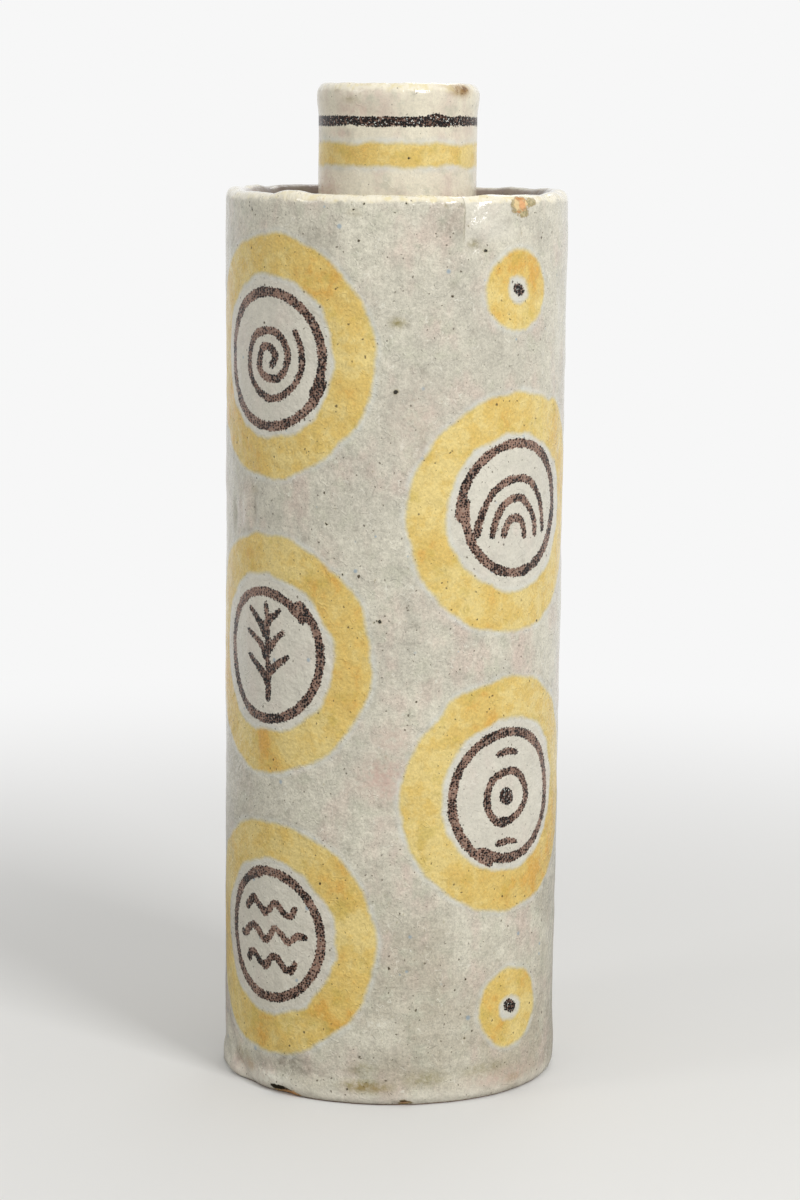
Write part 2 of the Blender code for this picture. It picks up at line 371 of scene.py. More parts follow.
class Field:
    """A node's output: a number, colour, place or shape. What is done to it adds nodes to its tree."""

    def __init__(self, socket):
        self.socket = socket

    def node(self, kind, output, inputs, **settings):
        """One output of a new node in the same tree."""
        return Field(add_node(self.socket.id_data, kind, inputs, **settings).outputs[output])

    def work(self, operation, *values):
        """A sum on numbers."""
        return self.node("ShaderNodeMath", 0, dict(enumerate(values)), operation=operation)

    def __add__(self, other):
        return self.work("ADD", self, other)

    def __sub__(self, other):
        return self.work("SUBTRACT", self, other)

    def __rsub__(self, other):
        return self.work("SUBTRACT", other, self)

    def __mul__(self, other):
        return self.work("MULTIPLY", self, other)

    def __truediv__(self, other):
        return self.work("DIVIDE", self, other)

    def __rtruediv__(self, other):
        return self.work("DIVIDE", other, self)

    def __abs__(self):
        return self.work("ABSOLUTE", self)

    __radd__ = __add__
    __rmul__ = __mul__

    def larger(self, other):
        return self.work("MAXIMUM", self, other)

    def smaller(self, other):
        return self.work("MINIMUM", self, other)

    def vector(self, operation, *others, output="Vector"):
        """A sum on places."""
        inputs = dict(enumerate((self, *others)))
        return self.node("ShaderNodeVectorMath", output, inputs, operation=operation)

    def moved(self, *offset):
        return self.vector("ADD", offset)

    def stretched(self, *factors):
        return self.vector("MULTIPLY", factors)

    def length(self):
        return self.vector("LENGTH", output="Value")

    def along(self, direction):
        return self.vector("DOT_PRODUCT", direction, output="Value")

    def height(self):
        return self.node("ShaderNodeSeparateXYZ", "Z", {"Vector": self})

    def step(self, low, high, start=0.0, end=1.0):
        """A soft step from start to end while this number goes from low to high."""
        inputs = {"Value": self, "From Min": low, "From Max": high, "To Min": start, "To Max": end}
        return self.node("ShaderNodeMapRange", "Result", inputs, interpolation_type="SMOOTHSTEP")

    def spread(self, start, end):
        """From start to end over the range that noise mostly keeps to."""
        return self.step(0.25, 0.75, start, end)

    def noise(self, size, detail=2.0, roughness=0.5, output="Fac"):
        """Noise from 0 to 1 at this place, whose features are about the size in millimetres."""
        inputs = {"Vector": self, "Scale": 1 / (size * MM), "Detail": detail, "Roughness": roughness}
        return self.node("ShaderNodeTexNoise", output, inputs)

    def cells(self, size, randomness=1.0):
        """Distance to the nearest cell's middle, in cells, and that cell's own random number."""
        inputs = {"Vector": self, "Scale": 1 / (size * MM), "Randomness": randomness}
        cells = add_node(self.socket.id_data, "ShaderNodeTexVoronoi", inputs).outputs
        own = self.node("ShaderNodeSeparateColor", "Red", {"Color": Field(cells["Color"])})
        return Field(cells["Distance"]), own

    def between(self, first, second):
        """The colour that is this share of the way from the first to the second."""
        inputs = {MIX_SHARE: self, MIX_FIRST: first, MIX_SECOND: second}
        return self.node("ShaderNodeMix", MIX_RESULT, inputs, data_type="RGBA")

    def mix(self, colour, share):
        """This colour with a share of another over it."""
        inputs = {MIX_SHARE: share, MIX_FIRST: self, MIX_SECOND: colour}
        return self.node("ShaderNodeMix", MIX_RESULT, inputs, data_type="RGBA")

    def shade(self, factor):
        """This colour made lighter or darker by a factor."""
        channels = {"Red": factor, "Green": factor, "Blue": factor}
        grey = self.node("ShaderNodeCombineColor", "Color", channels)
        inputs = {MIX_SHARE: 1.0, MIX_FIRST: self, MIX_SECOND: grey}
        return self.node("ShaderNodeMix", MIX_RESULT, inputs, data_type="RGBA", blend_type="MULTIPLY")

    def bump(self):
        """The surface's normal under this height in millimetres."""
        return self.node("ShaderNodeBump", "Normal", {"Height": self, "Distance": MM, "Strength": 1.0})

    def own(self, name):
        """A number that the piece keeps for each of its points."""
        return self.node("ShaderNodeAttribute", "Fac", {}, attribute_name=name)

    def effect(self, tree, **values):
        """The outputs of a shared effect at this place, with its other inputs named in lower case."""
        made = add_node(self.socket.id_data, "ShaderNodeGroup", {}, node_tree=tree)
        put(made.inputs["Place"], self)
        for name, value in values.items():
            put(made.inputs[name.title()], value)
        return {output.name: Field(output) for output in made.outputs}

    def specks(self, spacing, radius, softness):
        """1 on specks scattered over the surface, in millimetres."""
        return self.effect(SPECKS, spacing=spacing, radius=radius, softness=softness)["Mask"]


def new_group(name, inputs, outputs, kind="ShaderNodeTree"):
    """A node group, its inputs as fields by name, and its output sockets, from names by socket type."""
    tree = bpy.data.node_groups.new(name, kind)
    for way, sockets in (("INPUT", inputs), ("OUTPUT", outputs)):
        for socket, labels in sockets.items():
            for label in labels.split(", "):
                tree.interface.new_socket(label, in_out=way, socket_type="NodeSocket" + socket)
    start = add_node(tree, "NodeGroupInput").outputs
    given = {socket.name: Field(socket) for socket in start if socket.name}
    return tree, given, add_node(tree, "NodeGroupOutput").inputs


# The tree that turns a section into clay


def turned_clay_tree():
    """Turns a section round the axis, merges its poles and lets the clay waver in and out."""
    sockets = {
        "Geometry": "Section",
        "Int": "Columns",
        "Float": "Spindle, Waver, Waver Size, Dimple, Dimple Size, Seed, Merge",
        "Material": "Finish",
    }
    tree, given, result = new_group("turned_clay", sockets, {"Geometry": "Clay"}, "GeometryNodeTree")
    section = given["Section"]
    spindle = given["Spindle"]
    circle = {"Resolution": given["Columns"], "Radius": spindle}
    path = section.node("GeometryNodeCurvePrimitiveCircle", "Curve", circle)
    path = path.node("GeometryNodeSetCurveNormal", "Curve", {"Curve": path}, mode="Z_UP")
    inward = section.node("ShaderNodeCombineXYZ", "Vector", {"X": spindle * -1.0})
    shift = {"Geometry": section, "Translation": inward, "Scale": (1.0, -1.0, 1.0)}
    profile = section.node("GeometryNodeTransform", "Geometry", shift)
    swept = path.node("GeometryNodeCurveToMesh", "Mesh", {"Curve": path, "Profile Curve": profile})
    closed = {"Geometry": swept, "Distance": given["Merge"]}
    merged = swept.node("GeometryNodeMergeByDistance", "Geometry", closed)
    place = section.node("GeometryNodeInputPosition", "Position", {})
    radial = place.stretched(1.0, 1.0, 0.0).vector("NORMALIZE")
    moves = []
    for depth, seed in (("Waver", given["Seed"]), ("Dimple", given["Seed"] + 9.0)):
        inputs = {"Vector": place, "W": seed, "Scale": 1.0 / given[depth + " Size"], "Detail": 2.0}
        field = place.node("ShaderNodeTexNoise", "Fac", inputs, noise_dimensions="4D")
        moves.append((field - 0.5) * 2.0 * given[depth])
    push = {"Vector": radial, "Scale": moves[0] + moves[1]}
    offset = place.node("ShaderNodeVectorMath", "Vector", push, operation="SCALE")
    clay = merged.node("GeometryNodeSetPosition", "Geometry", {"Geometry": merged, "Offset": offset})
    clay = clay.node("GeometryNodeRealizeInstances", "Geometry", {"Geometry": clay})
    finish = {"Geometry": clay, "Material": given["Finish"]}
    put(result["Clay"], clay.node("GeometryNodeSetMaterial", "Geometry", finish))
    return tree


def turn_clay(name, tree, points, columns, waver, dimple, seed, finish, closed=True):
    """A plain mesh piece from its section. Waver and dimple are a depth and a size in millimetres."""
    curve = bpy.data.curves.new(name + "_section", "CURVE")
    curve.dimensions = "3D"
    spline = curve.splines.new("POLY")
    spline.points.add(len(points) - 1)
    for point, (radius, height) in zip(spline.points, points):
        point.co = (radius, height, 0.0, 1.0)
    spline.use_cyclic_u = closed
    maker = new_object(name + "_maker", curve)
    modifier = maker.modifiers.new("Turn", "NODES")
    modifier.node_group = tree
    values = {
        "Columns": columns,
        "Spindle": SPINDLE,
        "Merge": MERGE_DISTANCE,
        "Waver": waver[0] * MM,
        "Waver Size": waver[1] * MM,
        "Dimple": dimple[0] * MM,
        "Dimple Size": dimple[1] * MM,
        "Seed": seed,
        "Finish": finish,
    }
    for item in tree.interface.items_tree:
        if item.in_out == "INPUT" and item.name in values:
            modifier[item.identifier] = values[item.name]
    bpy.context.view_layer.update()
    graph = bpy.context.evaluated_depsgraph_get()
    mesh = bpy.data.meshes.new_from_object(maker.evaluated_get(graph))
    mesh.name = name
    bpy.data.objects.remove(maker, do_unlink=True)
    bpy.data.curves.remove(curve)
    mesh.shade_smooth()
    return new_object(name, mesh)


# Marks of the making, pressed into the turned forms

# How far the rim sags towards the front, and its humps: azimuth, half width in degrees, height in mm
RIM_SAG = 0.30
RIM_HUMPS = [
    (-38.5, 10, 1.00), (-47.5, 3.5, -0.20), (-60, 9, 0.20), (-113.5, 12, 0.75), (108, 18, 0.75),
    (132, 16, 0.50), (69, 9, 0.45), (33, 8, 0.20), (171, 14, 0.45), (-90, 17, 0.90), (88, 17, 0.95),
    (-143, 22, 0.55),
]

# Soft dents and swellings of the wall: azimuth, height, half width, half height, depth, all in mm
WALL_DENTS = [
    (25.8, 277.6, 4.4, 3.8, -0.85), (22, 271.5, 3.2, 2.4, 0.25), (27, 290.4, 5.6, 5, -1.10),
    (28.6, 288.6, 1.5, 1.2, 0.16), (31.4, 286.6, 1.6, 1.2, 0.18), (29.6, 285.2, 1.4, 1, -0.14),
    (29, 281.6, 5, 3, 0.30), (18.3, 290.5, 3.2, 2.4, 0.35), (-31, 286, 7, 5, 0.30),
    (-58.6, 190, 3, 6.6, 0.66), (-53.8, 190.8, 1.7, 6.4, -0.62), (-67.5, 188.5, 2.4, 6, -0.42),
    (-55, 183.2, 12, 1.5, -0.34), (-51.2, 197, 3.4, 1.3, -0.24), (-40, 196, 4.5, 4, -0.20),
    (-12, 196, 6, 3, -0.20), (-66, 128, 10, 34, -0.35), (30, 206, 13, 26, -0.30),
    (-8, 66, 16, 22, -0.28), (8, 136, 9, 5, -0.22), (2, 30, 12, 7, 0.22), (-14, 240, 7, 12, 0.20),
    (104, 180, 12, 30, -0.35), (-150, 90, 15, 28, -0.32), (166, 238, 10, 24, -0.30),
]

# Folds at the foot, where the rolled clay was tucked under: azimuth up the wall, how many degrees the
# fold swings by the time it reaches the table, height and depth in mm
FOOT_FOLDS = [(-79, 25, 22, 0.95), (-58.5, 5, 12, 0.35), (123, -6, 13, 0.45), (-154, -5, 15, 0.40)]
FOLD_TURN = 10.0 * MM
FOLD_HALF_WIDTH = 6.5

# Swellings low on the wall, where the clay sagged: azimuth, height, half width, half height, depth
FOOT_SWELLS = [
    (-88, 1, 14, 6.5, 1.70), (-69, 0.8, 9, 4, 1.30), (91, 9, 14, 9, 0.45), (-67, 8, 6, 5, 0.35),
    (-42, 4.4, 12, 4, 0.75), (-30, 5, 8, 4.2, 0.40), (-36, 12.5, 8, 3.5, -0.45), (-11, 9.5, 9, 3, -0.50),
    (2, 4, 9, 3, 0.40), (24, 10, 10, 3.5, -0.30), (38, 4.5, 14, 3.8, 0.35), (-52, 9, 7, 3.5, -0.40),
]

# Chips of the wall: azimuth, height, half width, half height, depth, all in mm
WALL_CHIPS = [
    (44.3, 289.9, 3.2, 2.4, 0.45), (49.2, 290.2, 2.7, 1.5, 0.16), (-38.6, 0.9, 5.2, 2.4, 0.90),
    (5.6, 0.4, 2.2, 1.6, 0.40), (96, 0.5, 2.8, 1.3, 0.60), (-134, 291.6, 2, 1.3, 0.40),
    (176, 0.4, 3.2, 1.5, 0.60),
]

# Marks that the materials draw on the wall: azimuth, height, half width, half height, all in mm
WALL_MARKS = {
    "core": [
        (44.4, 289.8, 3.1, 2.35), (-36.6, 0.3, 5.6, 2.1), (5.6, 0.5, 2.2, 1.4), (96, 0.4, 2.5, 1.1),
        (-134, 291.7, 1.5, 1), (176, 0.3, 2.9, 1.3),
    ],
    "cream": [(42.7, 289.7, 1.5, 2.1), (46.9, 290.4, 0.6, 1.7)],
    "fresh": [(45, 289.6, 1.6, 1.7), (-36, 0.8, 4.2, 1.1), (5.8, 0.8, 1.9, 0.9)],
    "ochre": [
        (-36, 1, 3.4, 0.5), (45, 291.4, 1.9, 0.45), (43.2, 287.3, 1.2, 0.45), (-24.7, 291.2, 0.6, 0.5),
        (150, 291.8, 1.6, 0.8),
    ],
    "halo": [
        (43.9, 289.4, 3.7, 3), (49.2, 290.2, 2.8, 1.4), (45.6, 287, 2.2, 1.5), (-136, 291, 2.6, 1.6),
        (-38, 0.7, 5, 2), (5.6, 0.6, 2.6, 1.6),
    ],
    # The hollows of chips at the foot, painted dark as shadow
    "shaded_notch": [(-40.6, 2.1, 3.9, 1.1), (-36.8, 2, 2.2, 0.6), (5.4, 1.7, 1.9, 0.35)],
    "speck": [
        (-14.7, 290.2, 0.35, 0.35), (-10.6, 289.9, 0.40, 0.50), (-14, 288, 0.40, 0.40),
        (3, 290.2, 0.40, 0.40), (-4.3, 158.7, 0.60, 0.60), (-6.2, 158.5, 0.33, 0.33),
        (0.2, 231.5, 0.72, 0.72), (29.9, 275.3, 0.62, 0.55), (23.5, 283, 0.42, 0.50),
        (-29.8, 22.4, 0.50, 0.85), (26.4, 21.5, 0.60, 0.55), (-5.2, 30.5, 0.45, 0.45),
        (-4.2, 27, 0.40, 0.40), (-22.5, 189.2, 0.45, 0.45), (-55.3, 287.1, 0.34, 0.75),
        (-16.9, 173.3, 0.40, 0.40), (14, 52, 0.40, 0.40), (120, 205, 0.60, 0.60),
        (-105, 140, 0.50, 0.60), (160, 95, 0.65, 0.50), (-160, 250, 0.55, 0.55),
    ],
}

# The same on the neck
NECK_MARKS = {
    "core": [],
    "cream": [],
    "fresh": [(58.5, 324.2, 0.6, 0.5)],
    "ochre": [],
    "halo": [(-147, 325.6, 1.5, 0.7)],
    "shaded_notch": [],
    "speck": [(-42, 321, 0.30, 0.30), (-22, 320.4, 0.28, 0.28), (8, 303.5, 0.35, 0.35)],
}

# Shares of a mark's reach at which it is full and gone
DENT_EDGE = (0.0, 1.3)
CHIP_EDGE = (0.35, 1.15)
STAIN_EDGE = (0.1, 1.25)


def fading_marks(points, marks, radius, edge, ragged=1.0):
    """For each mark, how strong it is at every point."""
    azimuth, _, height = polar(points)
    for middle, level, wide, tall, strength in marks:
        across, up = local_places(azimuth, height, middle, level, radius).T
        share = np.hypot(across / wide, up / tall)
        yield strength * (1 - smooth(share / ragged, *edge))


def strongest(points, marks, radius, edge, ragged=1.0):
    """The strength of the strongest mark at each point."""
    found = np.zeros(len(points))
    for strength in fading_marks(points, marks, radius, edge, ragged):
        found = np.maximum(found, strength)
    return found


def shape_wall(mesh):
    """Presses the seam, the rim's humps, dents, folds and chips into the wall."""
    points = read_points(mesh)
    azimuth, radius, height = polar(points)
    top_mm = WALL_TOP.z / MM
    outer = smooth(radius, BORE_RADIUS + RIM_ROUNDING, RIM_RADIUS - 1.5 * MM)
    low = 1 - smooth(height, 2 * MM, 8 * MM)
    outer = np.maximum(outer, low * smooth(radius, FOOT_RADIUS - 4 * MM, FOOT_RADIUS - 2.4 * MM))
    near_rim = smooth(height, WALL_TOP.z - 10 * MM, WALL_TOP.z - 1 * MM)
    right_of_seam = turn_apart(azimuth, SEAM_AZIMUTH)
    past_seam = smooth(right_of_seam, -0.5, 0.7)
    step = past_seam * (1 - smooth(right_of_seam, 6.0, 24.0))
    lift = 0.12 * wander_round(azimuth, 26, 1) + 0.10 * wander_round(azimuth, 80, 2) - 0.12 * step
    lift -= RIM_SAG * (1 + np.cos(np.radians(azimuth)))
    for middle, wide, tall in RIM_HUMPS:
        lift += tall * (1 - smooth(np.abs(turn_apart(azimuth, middle)), 0.15 * wide, wide))
    points[:, 2] += lift * near_rim * MM

    outward = sum(fading_marks(points, WALL_DENTS + FOOT_SWELLS, RIM_RADIUS, DENT_EDGE))
    fading = smooth(height / MM, top_mm - SEAM_LENGTH, top_mm - 5)
    swell = smooth(right_of_seam, -7.0, -1.5) * (1 - past_seam)
    outward += SEAM_STEP * fading * (0.35 * swell - step)
    wobble = 1.2 * wander_round(height / MM * 9, 20, 5)
    for middle, swing, tall, deep in FOOT_FOLDS:
        lean = turn_apart(azimuth, middle + swing * np.exp(-height / FOLD_TURN)) + wobble
        crease = 1 - smooth(np.abs(lean), 0.0, FOLD_HALF_WIDTH)
        crease *= (1 - smooth(height / MM, 0.5 * tall, tall)) * smooth(height / MM, -2.0, 5.0)
        outward -= deep * crease
    ragged = 1 + 0.22 * wander_round(azimuth, 90, 3)
    outward -= strongest(points, WALL_CHIPS, RIM_RADIUS, CHIP_EDGE, ragged)
    move_outward(points, azimuth, outward * outer * MM)

    azimuth, radius, _ = polar(points)
    move_outward(points, azimuth, -np.maximum(radius - WALL_TOP.x, 0.0))
    points[:, 2] = np.maximum(points[:, 2], 0.0)
    write_points(mesh, points)
    return points


def shape_neck(mesh):
    """Makes the neck's lip uneven."""
    points = read_points(mesh)
    azimuth, _, height = polar(points)
    near_lip = smooth(height, NECK_TOP.z - 12 * MM, NECK_TOP.z - 1 * MM)
    rise = 0.12 * np.sin(np.radians(azimuth))
    lift = 0.16 * wander_round(azimuth, 24, 7) + 0.10 * wander_round(azimuth, 70, 8) + rise + 0.1
    points[:, 2] = np.minimum(points[:, 2] + lift * near_lip * MM, NECK_TOP.z)
    write_points(mesh, points)
    return points


# Brushwork, laid on the unrolled wall in millimetres


class Layer:
    """One colour's brushwork: each point's distance to the nearest stroke's edge, and its load."""

    def __init__(self, count):
        self.edge = np.full(count, FAR)
        self.amount = np.zeros(count)
        self.weight = np.full(count, np.finfo(float).tiny)

    def lay(self, spot, edge, load):
        """Joins a stretch of stroke to what lies there already."""
        weight = np.exp(-edge / BLEND_MM)
        self.edge[spot] = np.minimum(self.edge[spot], edge)
        self.amount[spot] += weight * load
        self.weight[spot] += weight

    def load(self):
        return self.amount / self.weight

    def stroke(self, places, path, width, seed, start_pool=0.5, end_pool=0.4, taper=1.0):
        """Lays a stroke along a path, wavering in width and load and pooled at its ends."""
        lengths = [math.dist(a, b) for a, b in zip(path, path[1:])]
        whole = sum(lengths)
        marks = [sum(lengths[:i]) for i in range(len(path))]
        halves = [width / 2 * (1 + 0.10 * wander(mark / width * 1.6, seed)) for mark in marks]
        loads = [0.42 + 0.34 * wander(mark / width * 0.9, seed + 40) for mark in marks]
        reach = width / 2 + STROKE_REACH
        pool = 1.1 * width
        for i, length in enumerate(lengths):
            first, last = path[i], path[i + 1]
            near = np.flatnonzero(
                (places[:, 0] > min(first[0], last[0]) - reach)
                & (places[:, 0] < max(first[0], last[0]) + reach)
                & (places[:, 1] > min(first[1], last[1]) - reach)
                & (places[:, 1] < max(first[1], last[1]) + reach)
            )
            offset = places[near] - first
            heading = np.subtract(last, first) / length
            along = np.clip(offset @ heading, 0.0, length)
            apart = np.hypot(*(offset - along[:, None] * heading).T)
            part = along / length
            gone = marks[i] + along
            half = halves[i] + (halves[i + 1] - halves[i]) * part
            half *= 1 - (1 - taper) * gone / whole
            load = loads[i] + (loads[i + 1] - loads[i]) * part
            load += start_pool * (1 - smooth(gone, 0.0, pool))
            load += end_pool * (1 - smooth(whole - gone, 0.0, pool))
            self.lay(near, apart - half, load)

    def band(self, places, azimuth, level, width, rise, seed, bumps=()):
        """Lays a stroke right round a form, closing on itself."""
        middle = level + rise * wander_round(azimuth, 14, seed)
        half = width / 2 * (1 + 0.10 * wander_round(azimuth, 22, seed + 1))
        half *= 1 + 0.05 * wander_round(azimuth, 75, seed + 3)
        for place, wide, tall in bumps:
            swelling = tall / 2 * (1 - smooth(np.abs(turn_apart(azimuth, place)), 0.0, wide))
            half += swelling
            middle += swelling
        edge = np.abs(places[:, 1] - middle) - half
        self.lay(slice(None), edge, 0.45 + 0.25 * wander_round(azimuth, 18, seed + 2))


def shares(steps):
    """Even steps from 0 to 1, with both ends."""
    return [i / steps for i in range(steps + 1)]


def ring_path(radius, seed, start=200.0, overlap=14.0, squash=0.97, drift=1.2, steps=90):
    """A ring drawn by hand, which wobbles and runs on a little past its own start."""
    path = []
    for share in shares(steps):
        turn = math.radians(start + (360 + overlap) * share)
        wobble = radius * (1 + 0.035 * wander(3.2 * share, seed)) + drift * (share - 0.5)
        path.append((wobble * math.cos(turn), wobble * squash * math.sin(turn)))
    return path


# The motifs, as strokes: path, width and taper


def wave_strokes():
    """Three lines of waves, the middle one longest."""
    strokes = []
    for level, reach in ((9.0, 11.5), (0.2, 15.0), (-8.8, 11.5)):
        across = [reach * (2 * share - 1) for share in shares(40)]
        strokes.append(([(x, level + 1.9 * math.sin(x / 1.75)) for x in across], 2.9, 0.85))
    return strokes


def sprig_strokes():
    """A stem with three pairs of leaves."""
    strokes = [([(1.2 * math.sin(i / 5), -15 + 2.5 * i) for i in range(13)], 2.7, 0.8)]
    for level, reach in ((-9.0, 9.5), (-1.5, 9.0), (6.0, 7.0)):
        for side in (-reach, reach):
            leaf = [(side * share, level + 7.5 * share**0.7) for share in shares(6)]
            strokes.append((leaf, 3.5, 0.55))
    return strokes


def spiral_strokes():
    """One line wound outwards."""
    path = []
    for share in shares(60):
        turn = math.tau * 2.25 * share - 0.8
        reach = 1.6 + 12.6 * share
        path.append((reach * math.cos(turn), reach * math.sin(turn)))
    return [(path, 2.9, 0.85)]


def arch_strokes():
    """Three nested arches."""
    strokes = []
    for radius in (4.6, 9.9, 15.0):
        turns = [math.radians(176 - 172 * share) for share in shares(18)]
        arch = [(radius * math.cos(turn), -8.5 + 1.22 * radius * math.sin(turn)) for turn in turns]
        strokes.append((arch, 2.8, 0.9))
    return strokes


def target_strokes():
    """A ring round a dot, with a short dash below and above."""
    ring = ring_path(8.6, 17, 250.0, 10.0, 0.98, 0.8, 30)
    dot = [(-0.6, 0.2), (0.7, -0.3)]
    dashes = [([(-4.0, y), (0.2, y + 0.6), (4.2, y - 0.2)], 2.6, 0.8) for y in (14.6, -14.8)]
    return [(ring, 2.9, 0.95), (dot, 5.2, 1.0)] + dashes


# The roundels: azimuth, height in millimetres and what is drawn inside
ROUNDELS = [
    (-46.0, 240.0, spiral_strokes),
    (-47.5, 146.0, sprig_strokes),
    (-45.0, 52.5, wave_strokes),
    (44.5, 193.0, arch_strokes),
    (43.0, 99.5, target_strokes),
    (134.0, 241.0, wave_strokes),
    (133.0, 146.5, arch_strokes),
    (135.5, 52.0, spiral_strokes),
    (-136.0, 194.0, target_strokes),
    (-134.5, 99.0, sprig_strokes),
]

# Small rings in the spaces that the half-drop leaves: azimuth and height in millimetres
SMALL_RINGS = [(44.0, 263.0), (45.5, 29.5), (-135.0, 263.5), (-136.5, 29.5)]

ROUNDEL_RADIUS = 33.2
YELLOW_WIDTH = 13.0
LINER_RING_RADIUS = 21.2
LINER_WIDTH = 3.3
SMALL_RING_RADIUS = 8.8
SMALL_RING_WIDTH = 8.4
DOT_WIDTH = 4.0
SHAKE = 0.5
MOST_TILT = 5.0

# The neck's two plain stripes, in millimetres, with a bump: azimuth, half width and height
NECK_LINE_HEIGHT = 315.1
NECK_LINE_WIDTH = 3.3
NECK_BAND_HEIGHT = 304.5
NECK_BAND_WIDTH = 7.7
NECK_LINE_BUMPS = [(28.0, 11.0, 1.1)]
NECK_LINE_LOAD = 1.20
NECK_BAND_LOAD = -0.16


def framed(points):
    """1 on the ground inside the yellow rings, which came out whiter."""
    azimuth, _, height = polar(points)
    inside = np.zeros(len(points))
    rings = [(middle, level, ROUNDEL_RADIUS - YELLOW_WIDTH / 2) for middle, level, _ in ROUNDELS]
    small = SMALL_RING_RADIUS - SMALL_RING_WIDTH / 2
    rings += [(middle, level, small) for middle, level in SMALL_RINGS]
    for middle, level, reach in rings:
        away = np.hypot(*local_places(azimuth, height, middle, level, RIM_RADIUS).T)
        inside = np.maximum(inside, 1 - smooth(away, reach - 1.0, reach + 2.0))
    return inside


def hand_drawn(path, tilt, seed):
    """A path tilted by an angle and drawn by a hand that shakes a little."""
    drawn = []
    for i, (x, y) in enumerate(path):
        across = x * math.cos(tilt) - y * math.sin(tilt) + SHAKE * wander(0.22 * i, seed + 80)
        up = x * math.sin(tilt) + y * math.cos(tilt) + SHAKE * wander(0.22 * i, seed + 120)
        drawn.append((across, up))
    return drawn


def paint_wall(points):
    """Lays the roundels and their motifs, and returns the yellow and the dark layer."""
    azimuth, _, height = polar(points)
    yellow = Layer(len(points))
    dark = Layer(len(points))
    for number, (middle, level, motif) in enumerate(ROUNDELS):
        places = local_places(azimuth, height, middle, level, RIM_RADIUS)
        start = 200.0 + 67 * number
        yellow.stroke(places, ring_path(ROUNDEL_RADIUS, number, start), YELLOW_WIDTH, number)
        liner = ring_path(LINER_RING_RADIUS, number + 20, start + 130, 12.0, 0.98, 1.6)
        dark.stroke(places, liner, LINER_WIDTH, number + 20)
        tilt = math.radians(MOST_TILT * wander(number * 1.3, 60))
        for order, (path, width, taper) in enumerate(motif()):
            drawn = hand_drawn(path, tilt, number + 7 * order)
            dark.stroke(places, drawn, width, 10 * number + order, 0.6, 0.2, taper)
    for number, (middle, level) in enumerate(SMALL_RINGS):
        places = local_places(azimuth, height, middle, level, RIM_RADIUS)
        small = ring_path(SMALL_RING_RADIUS, number + 50, 40.0 * number, 20.0, 0.96, 0.8, 28)
        yellow.stroke(places, small, SMALL_RING_WIDTH, number + 50)
        dark.stroke(places, [(-0.7, 0.3), (0.8, -0.4)], DOT_WIDTH, number + 70)
    return yellow, dark


def paint_neck(points):
    """Lays the two stripes round the neck."""
    azimuth, _, height = polar(points)
    places = local_places(azimuth, height, 0.0, 0.0, NECK_RADIUS)
    yellow = Layer(len(points))
    dark = Layer(len(points))
    dark.band(places, azimuth, NECK_LINE_HEIGHT, NECK_LINE_WIDTH, 0.22, 31, NECK_LINE_BUMPS)
    dark.amount += NECK_LINE_LOAD * dark.weight
    yellow.band(places, azimuth, NECK_BAND_HEIGHT, NECK_BAND_WIDTH, 0.35, 41)
    yellow.amount += NECK_BAND_LOAD * yellow.weight
    return yellow, dark


